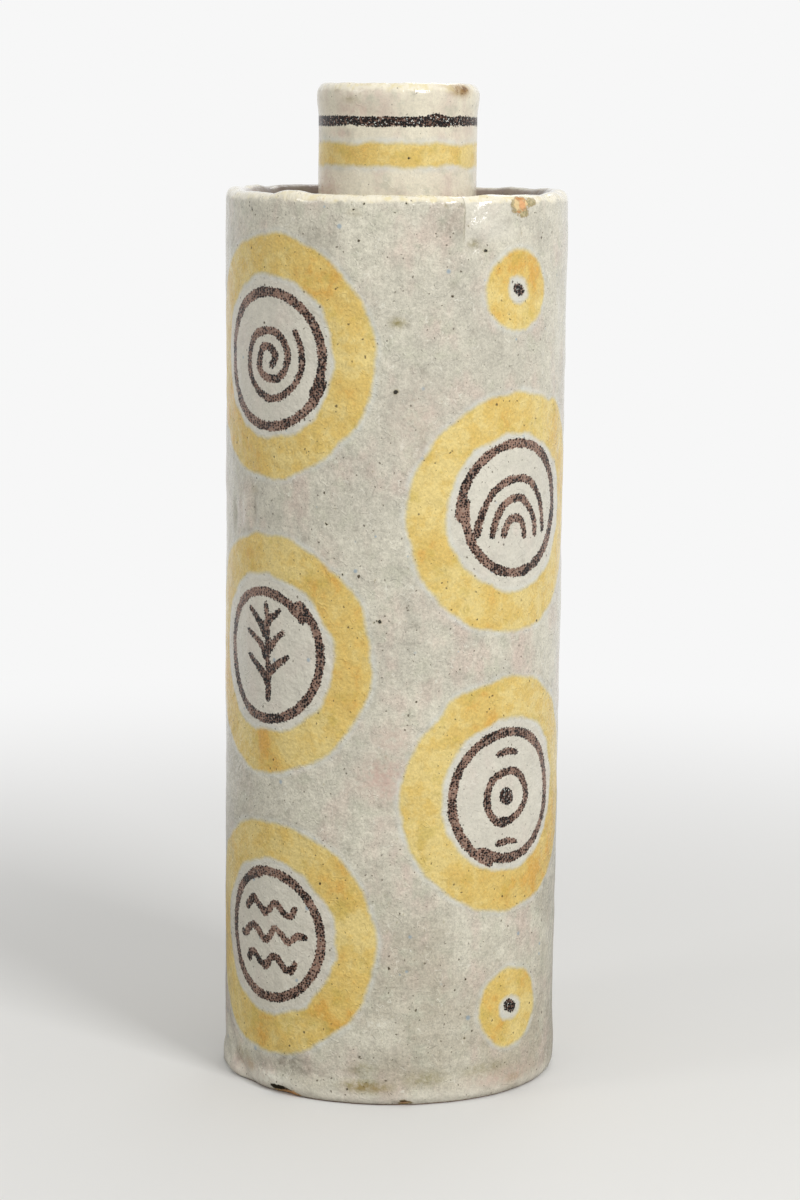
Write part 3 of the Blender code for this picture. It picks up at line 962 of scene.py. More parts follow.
# Stains and blushes, with painted shade and painted highlights among them: azimuth, height, half width, half
# height in mm, and strength
WALL_STAINS = {
    "olive": [
        (0.6, 253, 3.4, 2.2, 1.00), (-8.3, 248.6, 1.9, 1.8, 0.95), (-8, 6.2, 10.5, 3, 1.25),
        (-9, 12, 6, 3, 0.60), (12.7, 9, 9, 3.2, 0.70), (-62, 8.5, 8, 4, 0.60), (34, 10, 12, 3, 0.55),
        (25.8, 277.5, 2.6, 1.4, 0.75), (-14, 287, 3, 1.5, 0.40), (15.6, 289.4, 1, 0.9, 0.80),
        (-54, 198, 3, 2, 0.40), (88, 22, 9, 6, 0.40), (-172, 150, 12, 5, 0.35), (178, 275, 6, 3, 0.40),
    ],
    # Among these, the marks along the foot's fold, in the paddle marks' grooves at -49 to -69 degrees, in
    # the dent at 26.5 and left of the seam at 17.8 and 20.4, and over the far rim at 116, 150 and -148
    # degrees are painted shade; the rest are smoky blotches in the glaze.
    "smoke_and_shade": [
        (-35, 11, 12, 4.4, 0.80), (-59.5, 2.8, 2.2, 3, 0.45), (-66.5, 7, 2, 4, 0.50),
        (-71.6, 12.5, 1.8, 5, 0.45), (-74.5, 18, 1.6, 5, 0.35), (-50, 9, 5, 3, 0.50),
        (-22, 10, 5, 2.4, 0.40), (-26, 279, 9, 5.5, 0.45), (26.5, 277, 3.6, 3, 0.50),
        (-46, 190, 4, 3, 0.35), (-53.6, 190.8, 1.4, 6.4, 0.62), (-68.5, 188.5, 2.2, 6, 0.42),
        (-56, 183.3, 11, 1.2, 0.45), (-53, 196.1, 1.5, 0.9, 0.55), (-51, 197, 1.5, 0.9, 0.55),
        (-49, 197.9, 1.4, 0.9, 0.45), (-1, 15, 22, 6, 0.32), (17.8, 283.5, 7, 6.5, 0.60),
        (20.4, 284, 2.2, 6.5, 0.45), (150, 9, 14, 3, 0.50), (116, 292, 18, 3, 0.95),
        (150, 292, 16, 3, 0.25), (-148, 292, 24, 3, 0.95),
    ],
    "blush": [
        (-2.1, 107.9, 12, 10, 0.85), (1, 121, 8, 7, 0.50), (-60, 5, 9, 4, 0.60), (44, 6, 22, 4, 0.60),
        (8, 222, 14, 16, 0.30), (-24, 178, 9, 5, 0.35), (-92, 205, 12, 15, 0.45),
        (92, 120, 14, 16, 0.40), (180, 60, 16, 18, 0.45),
    ],
    # The pale marks are painted highlights: on the rolled edge of the foot, beside its fold, and on a paddle
    # ridge.
    "pale": [
        (-43, 4.2, 12, 3.4, 1.30), (-54, 3.4, 6, 2.6, 0.80), (-84, 7, 7, 7, 0.45),
        (120, 4, 9, 2.6, 0.60), (-58.9, 190.2, 2.8, 6.6, 0.50),
    ],
    "rust": [
        (-56, 6, 3, 2.5, 0.45), (-7, 6, 7, 1.7, 0.45), (48, 5, 5, 1.6, 0.40), (-150, 4, 6, 2.5, 0.45),
        (150, 292, 2.5, 1.2, 0.60),
    ],
}
NECK_STAINS = {
    "olive": [
        (-35, 321.9, 4.4, 1.3, 0.50), (-50, 325, 2.5, 1, 0.50), (44, 325.6, 5.5, 1.8, 0.70),
        (47, 324, 3, 1.2, 0.50),
    ],
    "smoke_and_shade": [(150, 290, 6, 3, 0.40)],
    "blush": [(-62, 293, 9, 7, 0.60), (-30, 318.5, 9, 3, 0.55), (-45, 311, 8, 2, 0.45)],
    # The pale mark is a painted highlight on the lip.
    "pale": [(-38, 326, 6, 1.4, 0.70)],
    "rust": [(50.5, 325.2, 7, 3, 0.95), (54, 325.4, 3.2, 1.8, 1.30), (36, 326.4, 4, 0.9, 0.30)],
}

# Glaze and clay effects, shared by the materials


def glaze_ground_group():
    """The bare glaze: blotches, tints, a fine grain, pale pinheads that also serve as painted glints, and
    faint curled lines.
    """
    sockets = {"Vector": "Place", "Color": "Cream, Grey, Pink, Green", "Float": "Grain"}
    tree, given, result = new_group("glaze_ground", sockets, {"Color": "Color"})
    place = given["Place"]
    grain = given["Grain"]
    squat = place.stretched(1.0, 1.0, 0.6)
    shifted = squat.moved(0.31, 0.17, 0.05)
    other = place.moved(0.11, -0.23, 0.4)
    colour = place.noise(34, 3, 0.6).step(0.36, 0.66).between(given["Cream"], given["Grey"])
    colour = colour.mix(given["Pink"], shifted.noise(12, 3, 0.6).step(0.46, 0.74, 0, 0.75))
    colour = colour.mix(given["Green"], other.noise(6, 3, 0.6).step(0.50, 0.74, 0, 0.75))
    mottle = place.noise(3.4, 3, 0.65).spread(-0.11, 0.075)
    runs = place.stretched(1.0, 1.0, 0.09).noise(1.7).spread(-0.035, 0.035)
    sand = place.noise(0.85, 2, 0.7).spread(-0.10, 0.10)
    fine = place.noise(0.42, 1).step(0.3, 0.7, -0.07, 0.07)
    colour = colour.shade((mottle + runs + sand + fine) * grain + 1.0)
    flocks = other.noise(8, 2, 0.6).step(0.36, 0.62, 0.25, 1) * grain
    flecks = squat.noise(1.3, 3, 0.65).step(0.66, 0.74)
    dust = shifted.noise(0.62, 2, 0.6).step(0.67, 0.74)
    pinheads_and_glints = other.noise(0.60, 2, 0.6).step(0.70, 0.76)
    colour = colour.mix(STAIN_OLIVE, flecks * flocks * 0.55)
    colour = colour.mix(SPECK_DARK, dust * flocks * 0.5)
    # Pale pinheads, which are also painted glints
    colour = colour.mix(GLAZE_PIN_AND_GLINT, pinheads_and_glints * flocks * 0.85)
    contour = abs(other.noise(6.1, 2, 0.6) - 0.5)
    scratches = contour.step(0.003, 0.012, 1, 0) * shifted.noise(4, 1).step(0.55, 0.62)
    put(result["Color"], colour.mix(GLAZE_PIN_AND_GLINT, scratches * grain * 0.55))
    return tree


def specks_group():
    """Specks scattered through the glaze: one in each cell that is drawn, of its own size."""
    sockets = {"Vector": "Place", "Float": "Spacing, Radius, Softness"}
    tree, given, result = new_group("glaze_specks", sockets, {"Float": "Mask"})
    distance, own = given["Place"].cells(given["Spacing"])
    radius = given["Radius"] / given["Spacing"] * own.step(0, 1, 0.35, 1)
    put(result["Mask"], distance.step(radius * (1.0 - given["Softness"]), radius, 1, 0))
    return tree


def mark_group():
    """How far a place is from a mark's middle, as a share of the mark's own reach."""
    tree, given, result = new_group("clay_mark", {"Vector": "Place, Middle, Reach"}, {"Float": "Share"})
    offset = given["Place"].vector("SUBTRACT", given["Middle"])
    put(result["Share"], offset.vector("DIVIDE", given["Reach"]).length())
    return tree


def brush_edge_group():
    """Where a colour lies: inside its stroke's edge, which wanders and fades."""
    sockets = {"Vector": "Place", "Float": "Edge, Wander, Fade"}
    tree, given, result = new_group("brush_edge", sockets, {"Float": "Mask, Edge"})
    coarse = given["Place"].noise(5.5) - 0.5
    fine = given["Place"].noise(1.1, 2, 0.6) - 0.5
    edge = (coarse * 2.2 + fine) * given["Wander"] + given["Edge"]
    put(result["Mask"], edge.step(given["Fade"] * -1.0, given["Fade"], 1, 0))
    put(result["Edge"], edge)
    return tree


def clay_grain_group():
    """Bare fired clay: warm blotches, dark grog and a sandy grain."""
    sockets = {"Vector": "Place", "Color": "Light, Dark"}
    tree, given, result = new_group("clay_grain", sockets, {"Color": "Color", "Float": "Height"})
    place = given["Place"]
    sand = place.noise(0.5, 2, 0.7)
    colour = place.noise(8, 4, 0.6).step(0.3, 0.7).between(given["Light"], given["Dark"])
    colour = colour.shade(sand.step(0.2, 0.8, 0.86, 1.10))
    distance, own = place.cells(1.9)
    grog = distance.step(0.12, 0.2, 1, 0) * own.step(0.5, 0.9)
    put(result["Color"], colour.mix(DARK_BROWN, grog * 0.6))
    put(result["Height"], sand * 0.10 + grog * 0.06)
    return tree


def glaze_skin_group():
    """Height of the glaze's skin in millimetres, and how rough it is."""
    sockets = {"Vector": "Place", "Float": "Roughness, Relief"}
    tree, given, result = new_group("glaze_skin", sockets, {"Float": "Height, Roughness"})
    place = given["Place"]
    lumps = place.noise(5.5, 1, 0.4) * 0.50
    peel = place.noise(1.9, 1) * 0.27
    grain = place.noise(0.8, 1) * 0.12
    patch = place.moved(0.2, 0.1, 0.3).noise(5, 1).step(0.5, 0.6)
    curl = abs(place.noise(4.6, 1) - 0.5).step(0.006, 0.024, 0.08, 0) * patch
    distance, own = place.cells(3.4)
    pits = distance.step(0, 0.10, 1, 0) * own.step(0.6, 0.95)
    put(result["Height"], (lumps + peel + grain + curl - pits * 0.12) * given["Relief"])
    uneven = place.noise(7, 2, 0.6).step(0.3, 0.7, -0.05, 0.07)
    put(result["Roughness"], given["Roughness"] + uneven)
    return tree


GROUND = glaze_ground_group()
SPECKS = specks_group()
MARK = mark_group()
BRUSH = brush_edge_group()
CLAY = clay_grain_group()
SKIN = glaze_skin_group()

# Scattered specks: spacing and radius in millimetres, softness and strength
GLAZE_SPECKS = [
    (1.7, 0.27, 0.6, 0.45),
    (2.6, 0.40, 0.5, 0.75),
    (4.6, 0.50, 0.45, 0.8),
    (10.0, 0.66, 0.4, 0.95),
]
NECK_SPECKS = [(1.9, 0.25, 0.6, 0.35), (3.0, 0.36, 0.5, 0.65), (7.0, 0.42, 0.45, 0.75)]


def new_material(name):
    """An empty material, its shader and the place of each point on the piece."""
    material = bpy.data.materials.new(name)
    material.use_nodes = True
    tree = material.node_tree
    place = Field(add_node(tree, "ShaderNodeTexCoord").outputs["Object"])
    return material, tree.nodes["Principled BSDF"], place


def fill(shader, values):
    """Puts values by name into a shader's inputs."""
    for name, value in values.items():
        put(shader.inputs[name], value)


def ground_colour(place, grain, cream, grey):
    """The bare glaze between a cream and a grey."""
    tints = {"cream": cream, "grey": grey, "pink": GLAZE_PINK, "green": GLAZE_GREEN}
    return place.effect(GROUND, grain=grain, **tints)["Color"]


def nearest_mark(place, marks, radius):
    """Share of reach at the nearest of several marks: below 1 inside one."""
    nearest = place.work("ADD", FAR, 0.0)
    for azimuth, height, wide, tall in marks:
        turn = math.radians(azimuth)
        middle = (radius * math.sin(turn), -radius * math.cos(turn), height * MM)
        reach = (wide * MM, wide * MM, tall * MM)
        nearest = nearest.smaller(place.effect(MARK, middle=middle, reach=reach)["Share"])
    return nearest


def shaken(place):
    """The place pushed to and fro by less than a millimetre, so that specks aren't round."""
    push = place.noise(0.8, 1, output="Color").vector("SUBTRACT", (0.5, 0.5, 0.5))
    return place.vector("ADD", push.stretched(0.9 * MM, 0.9 * MM, 0.9 * MM))


def yellow_paint(place, edge):
    """Colour of the yellow where its load and its nearness to the edge vary."""
    load = place.own("yellow_load") + place.noise(5.6, 4, 0.62).spread(-0.44, 0.44)
    colour = load.step(0.05, 0.60).between(YELLOW_PALE, YELLOW_MID)
    colour = colour.mix(YELLOW_ORANGE, load.step(0.60, 1.22))
    olive = place.moved(0.07, 0.19, 0.33).noise(7, 3, 0.6).step(0.52, 0.72, 0, 0.5)
    colour = colour.mix(YELLOW_OLIVE, olive)
    colour = colour.mix(YELLOW_EDGE, edge.step(-1.3, 0.4, 0, 0.65))
    return colour.shade(place.noise(0.8, 2, 0.7).spread(0.87, 1.11))


def dark_paint(place):
    """Colour, mask and dots of the liner's dark line, which broke into dots in the fire."""
    load = place.own("dark_load")
    distance, own = place.cells(0.76, 0.75)
    edge = (distance - 0.45) * 0.9 + place.own("dark_edge")
    dense = load + place.noise(3, 2, 0.6).spread(-0.34, 0.34)
    colour = dense.step(0, 0.9, 0, 0.85).between(DARK_PINK, DARK_PURPLE)
    gaps = distance.step(0.62, 0.80, 0, 0.7) * load.step(0.8, 1.3, 1, 0.3)
    colour = colour.mix(DARK_PALE, gaps)
    dots = (distance - dense.step(0, 1.2, 0.37, 0.62)).step(-0.04, 0.05, 1, 0)
    colour = colour.mix(own.step(0.82, 0.97).between(DARK_DOT, DARK_BROWN), dots)
    # Painted glints: whitish specks on the dark line.
    glint = place.noise(0.60, 1).step(0.64, 0.70) * load.step(0.6, 1.3, 0.25, 0.9)
    return colour.mix(HALO_WHITE, glint), edge.step(-0.16, 0.14, 1, 0), dots


def seam_line(place):
    """Near the rim, the seam's fine line, its step in millimetres, and the lighter glaze beside it, painted
    light on that side of the step.
    """
    turn = math.radians(SEAM_AZIMUTH)
    outward = place.along((math.sin(turn), -math.cos(turn), 0.0))
    wobble = (place.noise(4) - 0.5) * 1.8
    apart = place.along((math.cos(turn), math.sin(turn), 0.0)) / MM + wobble
    foot = WALL_TOP.z - SEAM_LENGTH * MM
    near = place.height().step(foot, foot + 0.3 * SEAM_LENGTH * MM)
    near *= outward.step(0.6 * BORE_RADIUS, 0.7 * BORE_RADIUS)
    line = abs(apart).step(0.10, 0.60, 1, 0) * near
    right = apart.step(-0.2, 0.4) * near
    return line, right * apart.step(1, 6, 1, 0) * -0.30, right * apart.step(10, 26, 1, 0)


def bare_chips(place, colour, marks, radius, dense):
    """The colour with the chips' halos, bared clay and painted shadow in their hollows over it, how bare it
    is, and its height.
    """
    clay = place.effect(CLAY, light=CLAY_LIGHT, dark=CLAY_DARK)
    ragged = place.noise(1.3, 2, 0.6).step(0.2, 0.8, -0.22, 0.22)
    kinds = ("halo", "core", "cream", "fresh", "ochre", "shaded_notch")
    near = {kind: nearest_mark(place, marks[kind], radius) + ragged for kind in kinds}
    mottled = place.noise(0.9, 2, 0.6).step(0.42, 0.6).between(CHIP_HALO, STAIN_OLIVE)
    colour = colour.mix(mottled, near["halo"].step(0.82, 1.06, 1, 0) * 0.92)
    outline = near["halo"].step(0.70, 0.90) * near["halo"].step(0.98, 1.14, 0.5, 0)
    colour = colour.mix(CHIP_LINE, outline)
    pale = place.noise(1.2, 3, 0.7).step(0.35, 0.65).between(CHIP_PALE, CLAY_LIGHT)
    bared = near["core"].step(0.92, 1.0, 1, 0)
    colour = colour.mix(pale.mix(clay["Color"], 0.3), bared)
    colour = colour.mix(CHIP_PALE, near["cream"].step(0.6, 1.1, 0.9, 0))
    colour = colour.mix(CHIP_CORE, near["fresh"].step(0.6, 1.1, 0.9, 0))
    colour = colour.mix(CHIP_OCHRE, near["ochre"].step(0.5, 1.2, 0.8, 0) * dense)
    # Painted shadow: the hollows of the chips are darkened nearly to black, over the bared clay.
    broken = near["shaded_notch"].step(0.75, 1.08, 1, 0)
    colour = colour.mix(CHIP_NOTCH_SHADOW, broken)
    raw = place.own("raw").step(0.35, 0.65)
    bare = bared.larger(broken).larger(raw)
    return colour.mix(clay["Color"], raw), bare, clay["Height"] * bare


def painted_glaze(name, tints, grain, marks, scattered, radius, blue_share):
    """The tin glaze with its brushwork, specks, stains, wear and bare clay."""
    material, shader, place = new_material(name)
    cream, grey, foot = tints
    lower = place.height().step(0, 130 * MM, 1, 0).between(grey, foot)
    colour = ground_colour(place, grain, cream, lower)
    line, step, white = seam_line(place)
    # Painted light: beside the seam the glaze is made lighter, as on the lit side of the step; it is made
    # glossier there too.
    colour = colour.mix(GLAZE_WHITE, white * 0.34)
    colour = colour.mix(GLAZE_WHITE, place.own("framed") * 0.55)
    patchy = place.noise(2, 3, 0.7).step(0.30, 0.66, 0.25, 1)
    # Stains and blushes, with painted shade among the smoky marks and painted highlights in the pale ones
    stains = {"smoke_and_shade": SMOKE_AND_SHADE_GREY, "olive": STAIN_OLIVE, "blush": STAIN_PINK, "pale": GLAZE_PIN_AND_GLINT}
    for stain, tone in stains.items():
        colour = colour.mix(tone, place.own(stain) * patchy)
    colour = colour.mix(SMOKE_AND_SHADE_GREY, place.specks(9, 2.8, 1) * patchy * 0.45)
    colour = colour.mix(SPECK_BLUE, place.specks(8.8, 1.1, 0.6) * blue_share)

    yellow_edge = place.own("yellow_edge")
    brush = place.effect(BRUSH, edge=yellow_edge, wander=0.8, fade=1.0)
    broken_halo = place.noise(6, 2, 0.6).step(0.3, 0.7, 0.1, 0.75)
    colour = colour.mix(HALO_WHITE, yellow_edge.step(0, 2.6, 1, 0) * broken_halo)
    colour = colour.mix(yellow_paint(place, brush["Edge"]), brush["Mask"] * 0.97)

    # Painted highlight: the tops of the rim and the lip are made creamy white where the highlight lies along
    # them; the straw-yellow mottling over them is the glaze's own.
    ragged = place.noise(6, 3, 0.6).step(0.3, 0.7, -0.30, 0.30)
    lip = (place.own("lip") + ragged).step(0.35, 0.95)
    creamy = place.noise(3.5, 3, 0.65).step(0.25, 0.6, 0.50, 1)
    straw = place.stretched(1.0, 1.0, 0.8).noise(3.4, 3, 0.7).step(0.45, 0.68, 0, 0.6)
    colour = colour.mix(LIP_CREAM_HIGHLIGHT, lip * creamy).mix(LIP_YELLOW, lip * straw)
    # Painted highlight: the rolled edge of the foot is made a brighter cream, in patches.
    rolled = place.noise(9).step(0.25, 0.55, 0.10, 0.50)
    colour = colour.mix(FOOT_CREAM_HIGHLIGHT, place.own("roll") * rolled)

    loose = shaken(place)
    for spacing, reach, softness, strength in scattered:
        colour = colour.mix(SPECK_DARK, loose.specks(spacing, reach, softness) * strength)
    own_specks = nearest_mark(loose, marks["speck"], radius)
    colour = colour.mix(STAIN_OLIVE, own_specks.step(0.9, 1.6, 0.5, 0))
    colour = colour.mix(SPECK_BLACK, own_specks.step(0.70, 1.05, 1, 0) * 0.95)

    dense = place.noise(1.6, 3, 0.7).step(0.25, 0.55, 0.45, 1)
    rust = place.own("rust") * dense
    scorched = (rust * patchy).step(0.45, 0.85, 0, 0.8)
    colour = colour.mix(STAIN_RUST, rust).mix(STAIN_BROWN, scorched)
    # Inside the wall and down the neck's bore the glaze turns brown: partly a thinner glaze, partly painted
    # shade that deepens inwards.
    brown = place.noise(5, 3, 0.6).step(0.4, 0.65).between(WELL_BROWN, WELL_MAUVE)
    colour = colour.mix(brown, place.own("well"))

    dark, dark_mask, dots = dark_paint(place)
    colour = colour.mix(dark, dark_mask).mix(STAIN_OLIVE, line * 0.28)
    colour, bare, sandy = bare_chips(place, colour, marks, radius, dense)

    skin = place.effect(SKIN, roughness=0.20, relief=lip * (-0.5 * grain) + grain)
    shiny = lip.larger(white * 0.8)
    rough = dark_mask * 0.08 + skin["Roughness"] - shiny * 0.10
    grooves = place.stretched(1.0, 1.0, 0.12).noise(1.3, 1) * lip * 0.38
    height = skin["Height"] + dots * dark_mask * 0.05 + grooves + step + sandy
    matt = bare.larger(dark_mask * 0.9).larger(brush["Mask"] * 0.8)
    values = {
        "Base Color": colour,
        "Roughness": rough.larger(bare * 0.85),
        "Coat Weight": (1.0 - matt) * (shiny * 0.75 + 0.25),
        "Coat Roughness": 0.07,
        "Specular IOR Level": 0.22,
        "Normal": height.bump(),
    }
    fill(shader, values)
    return material


def well_glaze():
    """The thinner, duller glaze round the neck's foot, with dust in its corners, which are also darkened as
    painted shade.
    """
    material, shader, place = new_material("well_glaze")
    radius = place.stretched(1.0, 1.0, 0.0).length()
    at_wall = radius.step(SLAB_TOP.x - 9 * MM, SLAB_TOP.x)
    at_neck = radius.step(NECK_RADIUS, NECK_RADIUS + 7 * MM, 1, 0)
    # Dust with painted shade: darker and rougher in patches towards the wall and the neck.
    dust = at_wall.larger(at_neck) * place.noise(3, 3, 0.65).step(0.25, 0.7) * 0.6
    colour = ground_colour(place, 0.8, WELL_CREAM, WELL_BROWN).mix(WELL_BROWN, dust)
    skin = place.effect(SKIN, roughness=0.38, relief=0.8)
    values = {
        "Base Color": colour.mix(SPECK_DARK, place.specks(3.4, 0.5, 0.5) * 0.7),
        "Roughness": dust * 0.35 + skin["Roughness"],
        "Normal": skin["Height"].bump(),
    }
    fill(shader, values)
    return material


def bare_clay():
    """Unglazed clay, with a little glaze that ran under the foot."""
    material, shader, place = new_material("bare_clay")
    clay = place.effect(CLAY, light=CLAY_LIGHT, dark=CLAY_DARK)
    towards_edge = place.stretched(1.0, 1.0, 0.0).length().step(25 * MM, BASE_TOP.x, -0.3, 0.12)
    glazed = (place.noise(9, 3, 0.6) + towards_edge).step(0.62, 0.68)
    values = {
        "Base Color": clay["Color"].mix(GLAZE_GREY, glazed * 0.85),
        "Roughness": glazed.step(0, 1, 0.88, 0.35),
        "Normal": (glazed * 0.12 + clay["Height"]).bump(),
    }
    fill(shader, values)
    return material


# The pieces


def dress(piece, slot, *nodes):
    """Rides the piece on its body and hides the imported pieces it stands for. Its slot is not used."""
    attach(piece, "root")
    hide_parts(*nodes)


def keep_surface(mesh, points, layers, stains, radius, outer):
    """Stores the brushwork and the stains of the outer side, for the material to read."""
    for name, layer in zip(("yellow", "dark"), layers):
        keep_values(mesh, **{name + "_edge": np.where(outer, layer.edge, FAR), name + "_load": layer.load()})
    for name, places in stains.items():
        keep_values(mesh, **{name: strongest(points, places, radius, STAIN_EDGE) * outer})


def make_wall(tree):
    tints = (GLAZE_CREAM, GLAZE_GREY, GLAZE_FOOT)
    finish = painted_glaze("body_glaze", tints, 1.0, WALL_MARKS, GLAZE_SPECKS, RIM_RADIUS, 0.7)
    section = wall_section()
    wall = turn_clay("glazed_wall", tree, section, WALL_COLUMNS, (0.55, 38), (0.34, 10), 4.0, finish)
    points = shape_wall(wall.data)
    azimuth, radius, height = polar(points)
    outer = radius > BORE_RADIUS + 0.4 * WALL_THICKNESS
    keep_surface(wall.data, points, paint_wall(points), WALL_STAINS, RIM_RADIUS, outer)
    # Painted shade on the far rim: there the lip's painted highlight fades, and the brown of the inner side
    # reaches higher up.
    far_rim_shade = smooth(np.abs(azimuth) - np.where(azimuth < 0, 22.0, 0.0), 92.0, 116.0)
    brown_and_shade_reach = (2.2 + 1.8 * far_rim_shade * (azimuth < 0)) * MM
    under = (1 - smooth(height, 0.15 * MM, 0.7 * MM)) * (radius < FOOT_RADIUS - 1.2 * MM)
    inside = (~outer) * (1 - smooth(height, SLAB_TOP.z - 9 * MM, SLAB_TOP.z - 7 * MM))
    keep_values(
        wall.data,
        lip=smooth(height, WALL_TOP.z - 4.4 * MM, WALL_TOP.z - 1.4 * MM) * (1 - 0.85 * far_rim_shade),
        well=0.9 * (1 - smooth(radius, BORE_RADIUS + 0.8 * MM, BORE_RADIUS + brown_and_shade_reach)),
        raw=np.maximum(under, inside),
        framed=framed(points) * outer,
        # Where the rolled edge of the foot is painted lighter as a highlight
        roll=(1 - smooth(height, 1.5 * MM, 6.5 * MM)) * outer,
    )
    dress(wall, "tin_glaze", "body_wall")


def make_neck(tree):
    tints = (NECK_CREAM, NECK_GREY, NECK_GREY)
    finish = painted_glaze("neck_glaze", tints, 0.45, NECK_MARKS, NECK_SPECKS, NECK_RADIUS, 0.0)
    section = neck_section()
    neck = turn_clay("glazed_neck", tree, section, NECK_COLUMNS, (0.30, 22), (0.12, 7), 11.0, finish)
    points = shape_neck(neck.data)
    _, radius, height = polar(points)
    outer = radius > NECK_BORE + 0.5 * NECK_WALL
    keep_surface(neck.data, points, paint_neck(points), NECK_STAINS, NECK_RADIUS, outer)
    # Painted shade: the neck's bore turns brown further down.
    deep = smooth(NECK_TOP.z - height, 6 * MM, 20 * MM)
    nothing = np.zeros(len(points))
    keep_values(
        neck.data,
        lip=smooth(height, NECK_TOP.z - 4.4 * MM, NECK_TOP.z - 1.2 * MM),
        well=0.8 * deep * (1 - smooth(radius, NECK_BORE, NECK_BORE + 1 * MM)),
        raw=nothing,
        framed=nothing,
        roll=nothing,
    )
    dress(neck, "tin_glaze", "neck_wall")


def make_shoulder(tree):
    section = shoulder_section()
    shoulder = turn_clay(
        "glazed_shoulder", tree, section, NECK_COLUMNS, (0.22, 16), (0.10, 6), 21.0, well_glaze()
    )
    dress(shoulder, "well_glaze", "shoulder_slab", "shoulder_fillet", "neck_fillet")


def make_base(tree, clay):
    section = base_section()
    base = turn_clay("base_disc", tree, section, NECK_COLUMNS, (0.10, 20), (0.05, 6), 31.0, clay, False)
    dress(base, "bare_clay", "base_slab")


def finish_inner_pieces(clay):
    """Gives the coils and the strip inside the vase the bare clay's finish."""
    for name in ("base_coil", "shoulder_ledge_coil", "body_seam_strip"):
        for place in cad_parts[name].material_slots:
            place.material = clay


# Studio

FLOOR_REACH = 4.0
FLOOR_SEEN = (0.80, 0.80, 0.79, 1.0)
FLOOR_FELT = (0.34, 0.34, 0.33, 1.0)
BACKGROUND = 0.93
AMBIENT = 0.585
AMBIENT_COLOUR = (1.0, 0.99, 0.97, 1.0)


def seen_directly(tree):
    """1 for rays that show the surroundings as they are: camera, glossy and transmitted rays."""
    path = add_node(tree, "ShaderNodeLightPath").outputs
    camera, glossy, through = [Field(path[f"Is {ray} Ray"]) for ray in ("Camera", "Glossy", "Transmission")]
    return camera.larger(glossy).larger(through)


def fade_to_white(tree, shader, share, kind, end):
    """Mixes plain white over a shader, by a share, and puts it into the tree's output node."""
    white = add_node(tree, kind, {"Color": WHITE, "Strength": BACKGROUND})
    inputs = {0: share, 1: Field(shader.outputs[0]), 2: Field(white.outputs[0])}
    mixed = add_node(tree, "ShaderNodeMixShader", inputs)
    put(tree.nodes[end].inputs["Surface"], Field(mixed.outputs[0]))


def make_floor():
    """A pale floor that fades into the white of the surroundings away from the vase."""
    mesh = bpy.data.meshes.new("floor")
    work = bmesh.new()
    bmesh.ops.create_circle(work, cap_ends=True, segments=64, radius=FLOOR_REACH)
    work.to_mesh(mesh)
    work.free()
    floor = new_object("floor", mesh)
    material, shader, place = new_material("pale_floor")
    tree = material.node_tree
    camera = Field(add_node(tree, "ShaderNodeLightPath").outputs["Is Camera Ray"])
    fill(shader, {"Base Color": camera.between(FLOOR_FELT, FLOOR_SEEN), "Roughness": 0.75})
    fade = place.length().step(0.18, 0.75) * seen_directly(tree)
    fade_to_white(tree, shader, fade, "ShaderNodeEmission", "Material Output")
    mesh.materials.append(material)


def make_world():
    """Even soft light from all sides, and a white background."""
    world = bpy.data.worlds.new("studio")
    bpy.context.scene.world = world
    world.use_nodes = True
    tree = world.node_tree
    light = tree.nodes["Background"]
    fill(light, {"Color": AMBIENT_COLOUR, "Strength": AMBIENT})
    fade_to_white(tree, light, seen_directly(tree), "ShaderNodeBackground", "World Output")


# Softboxes: azimuth and elevation in degrees, distance and side in metres, watts
SOFTBOXES = [
    (36.0, 31.0, 1.5, 0.42, 11.4),
    (-62.0, 30.0, 1.2, 0.27, 1.20),
    (165.0, 45.0, 1.4, 0.50, 1.3),
]


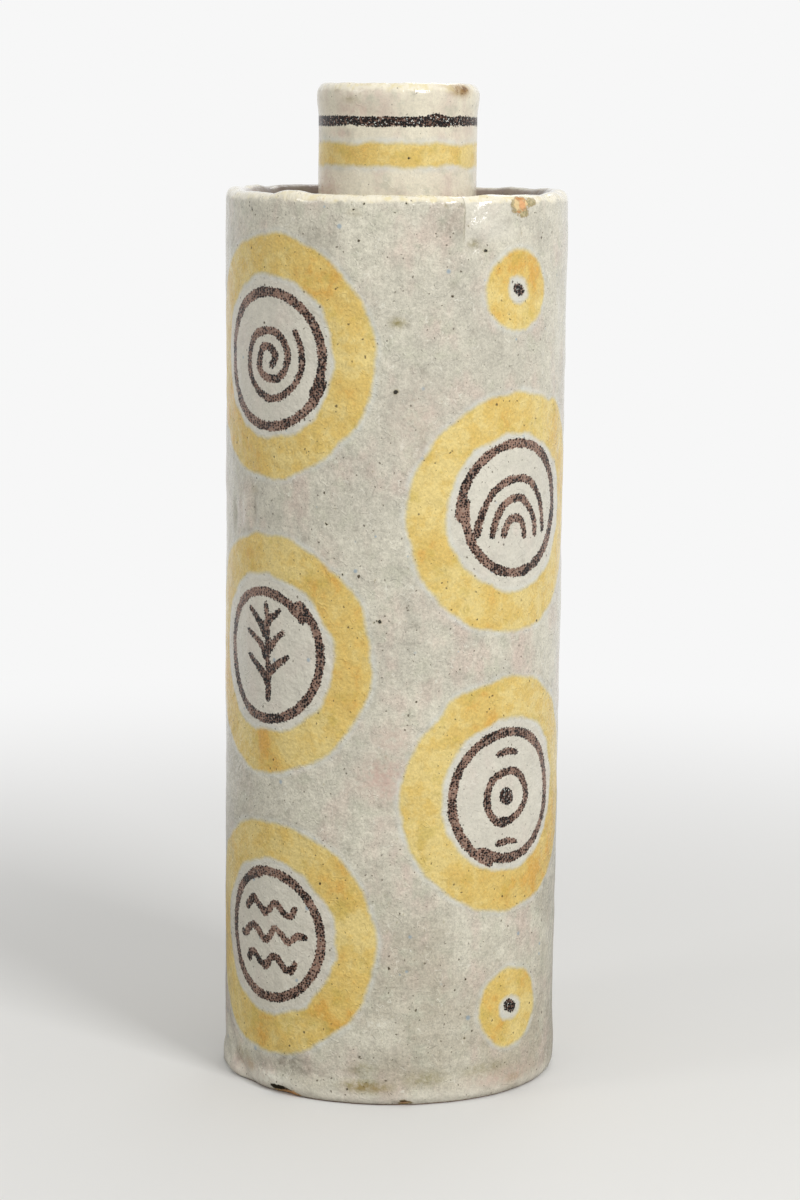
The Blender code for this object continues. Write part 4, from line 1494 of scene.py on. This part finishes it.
def make_lights():
    aim = Vector((0.0, 0.0, WALL_TOP.z * 0.6))
    for number, (azimuth, elevation, distance, side, watts) in enumerate(SOFTBOXES):
        turn = math.radians(azimuth)
        rise = math.radians(elevation)
        out = Vector((math.sin(turn) * math.cos(rise), -math.cos(turn) * math.cos(rise), math.sin(rise)))
        light = bpy.data.lights.new(f"softbox_{number}", "AREA")
        light.shape = "SQUARE"
        light.size = side
        light.energy = watts
        facing = out.to_track_quat("Z", "Y").to_matrix().to_4x4()
        lamp = new_object(f"softbox_{number}", light)
        lamp.matrix_world = Matrix.Translation(aim + out * distance) @ facing


# The photograph's view, fitted to the vase's outline in its frame of 800 x 1200 pixels
FRAME_LONG_PIXELS = 1200
FRAME_MIDDLE_PIXEL_X = 400
FOCAL_PIXELS = 3212
AXIS_PIXEL_X = 393.19
CAMERA_DISTANCE = 1.06965
CAMERA_ELEVATION = math.radians(8.583)
CAMERA_ROLL = math.radians(0.580)
LOOK_HEIGHT = 0.15736
SENSOR_MM = 36.0


def make_camera():
    back = Vector((0.0, -math.cos(CAMERA_ELEVATION), math.sin(CAMERA_ELEVATION)))
    level = Vector((1.0, 0.0, 0.0))
    up = level.cross(-back)
    across = math.cos(CAMERA_ROLL) * level + math.sin(CAMERA_ROLL) * up
    upward = math.cos(CAMERA_ROLL) * up - math.sin(CAMERA_ROLL) * level
    data = bpy.data.cameras.new("camera")
    data.sensor_width = SENSOR_MM
    data.lens = FOCAL_PIXELS / FRAME_LONG_PIXELS * SENSOR_MM
    data.shift_x = (FRAME_MIDDLE_PIXEL_X - AXIS_PIXEL_X) / FRAME_LONG_PIXELS
    camera = new_object("camera", data)
    turn = Matrix((across, upward, back)).transposed().to_4x4()
    eye = Vector((0.0, 0.0, LOOK_HEIGHT)) + back * CAMERA_DISTANCE
    camera.matrix_world = Matrix.Translation(eye) @ turn
    bpy.context.scene.camera = camera


def main():
    tree = turned_clay_tree()
    clay = bare_clay()
    make_wall(tree)
    make_neck(tree)
    make_shoulder(tree)
    make_base(tree, clay)
    finish_inner_pieces(clay)
    make_floor()
    make_world()
    make_lights()
    make_camera()
    bpy.context.scene.view_settings.view_transform = "Standard"


main()
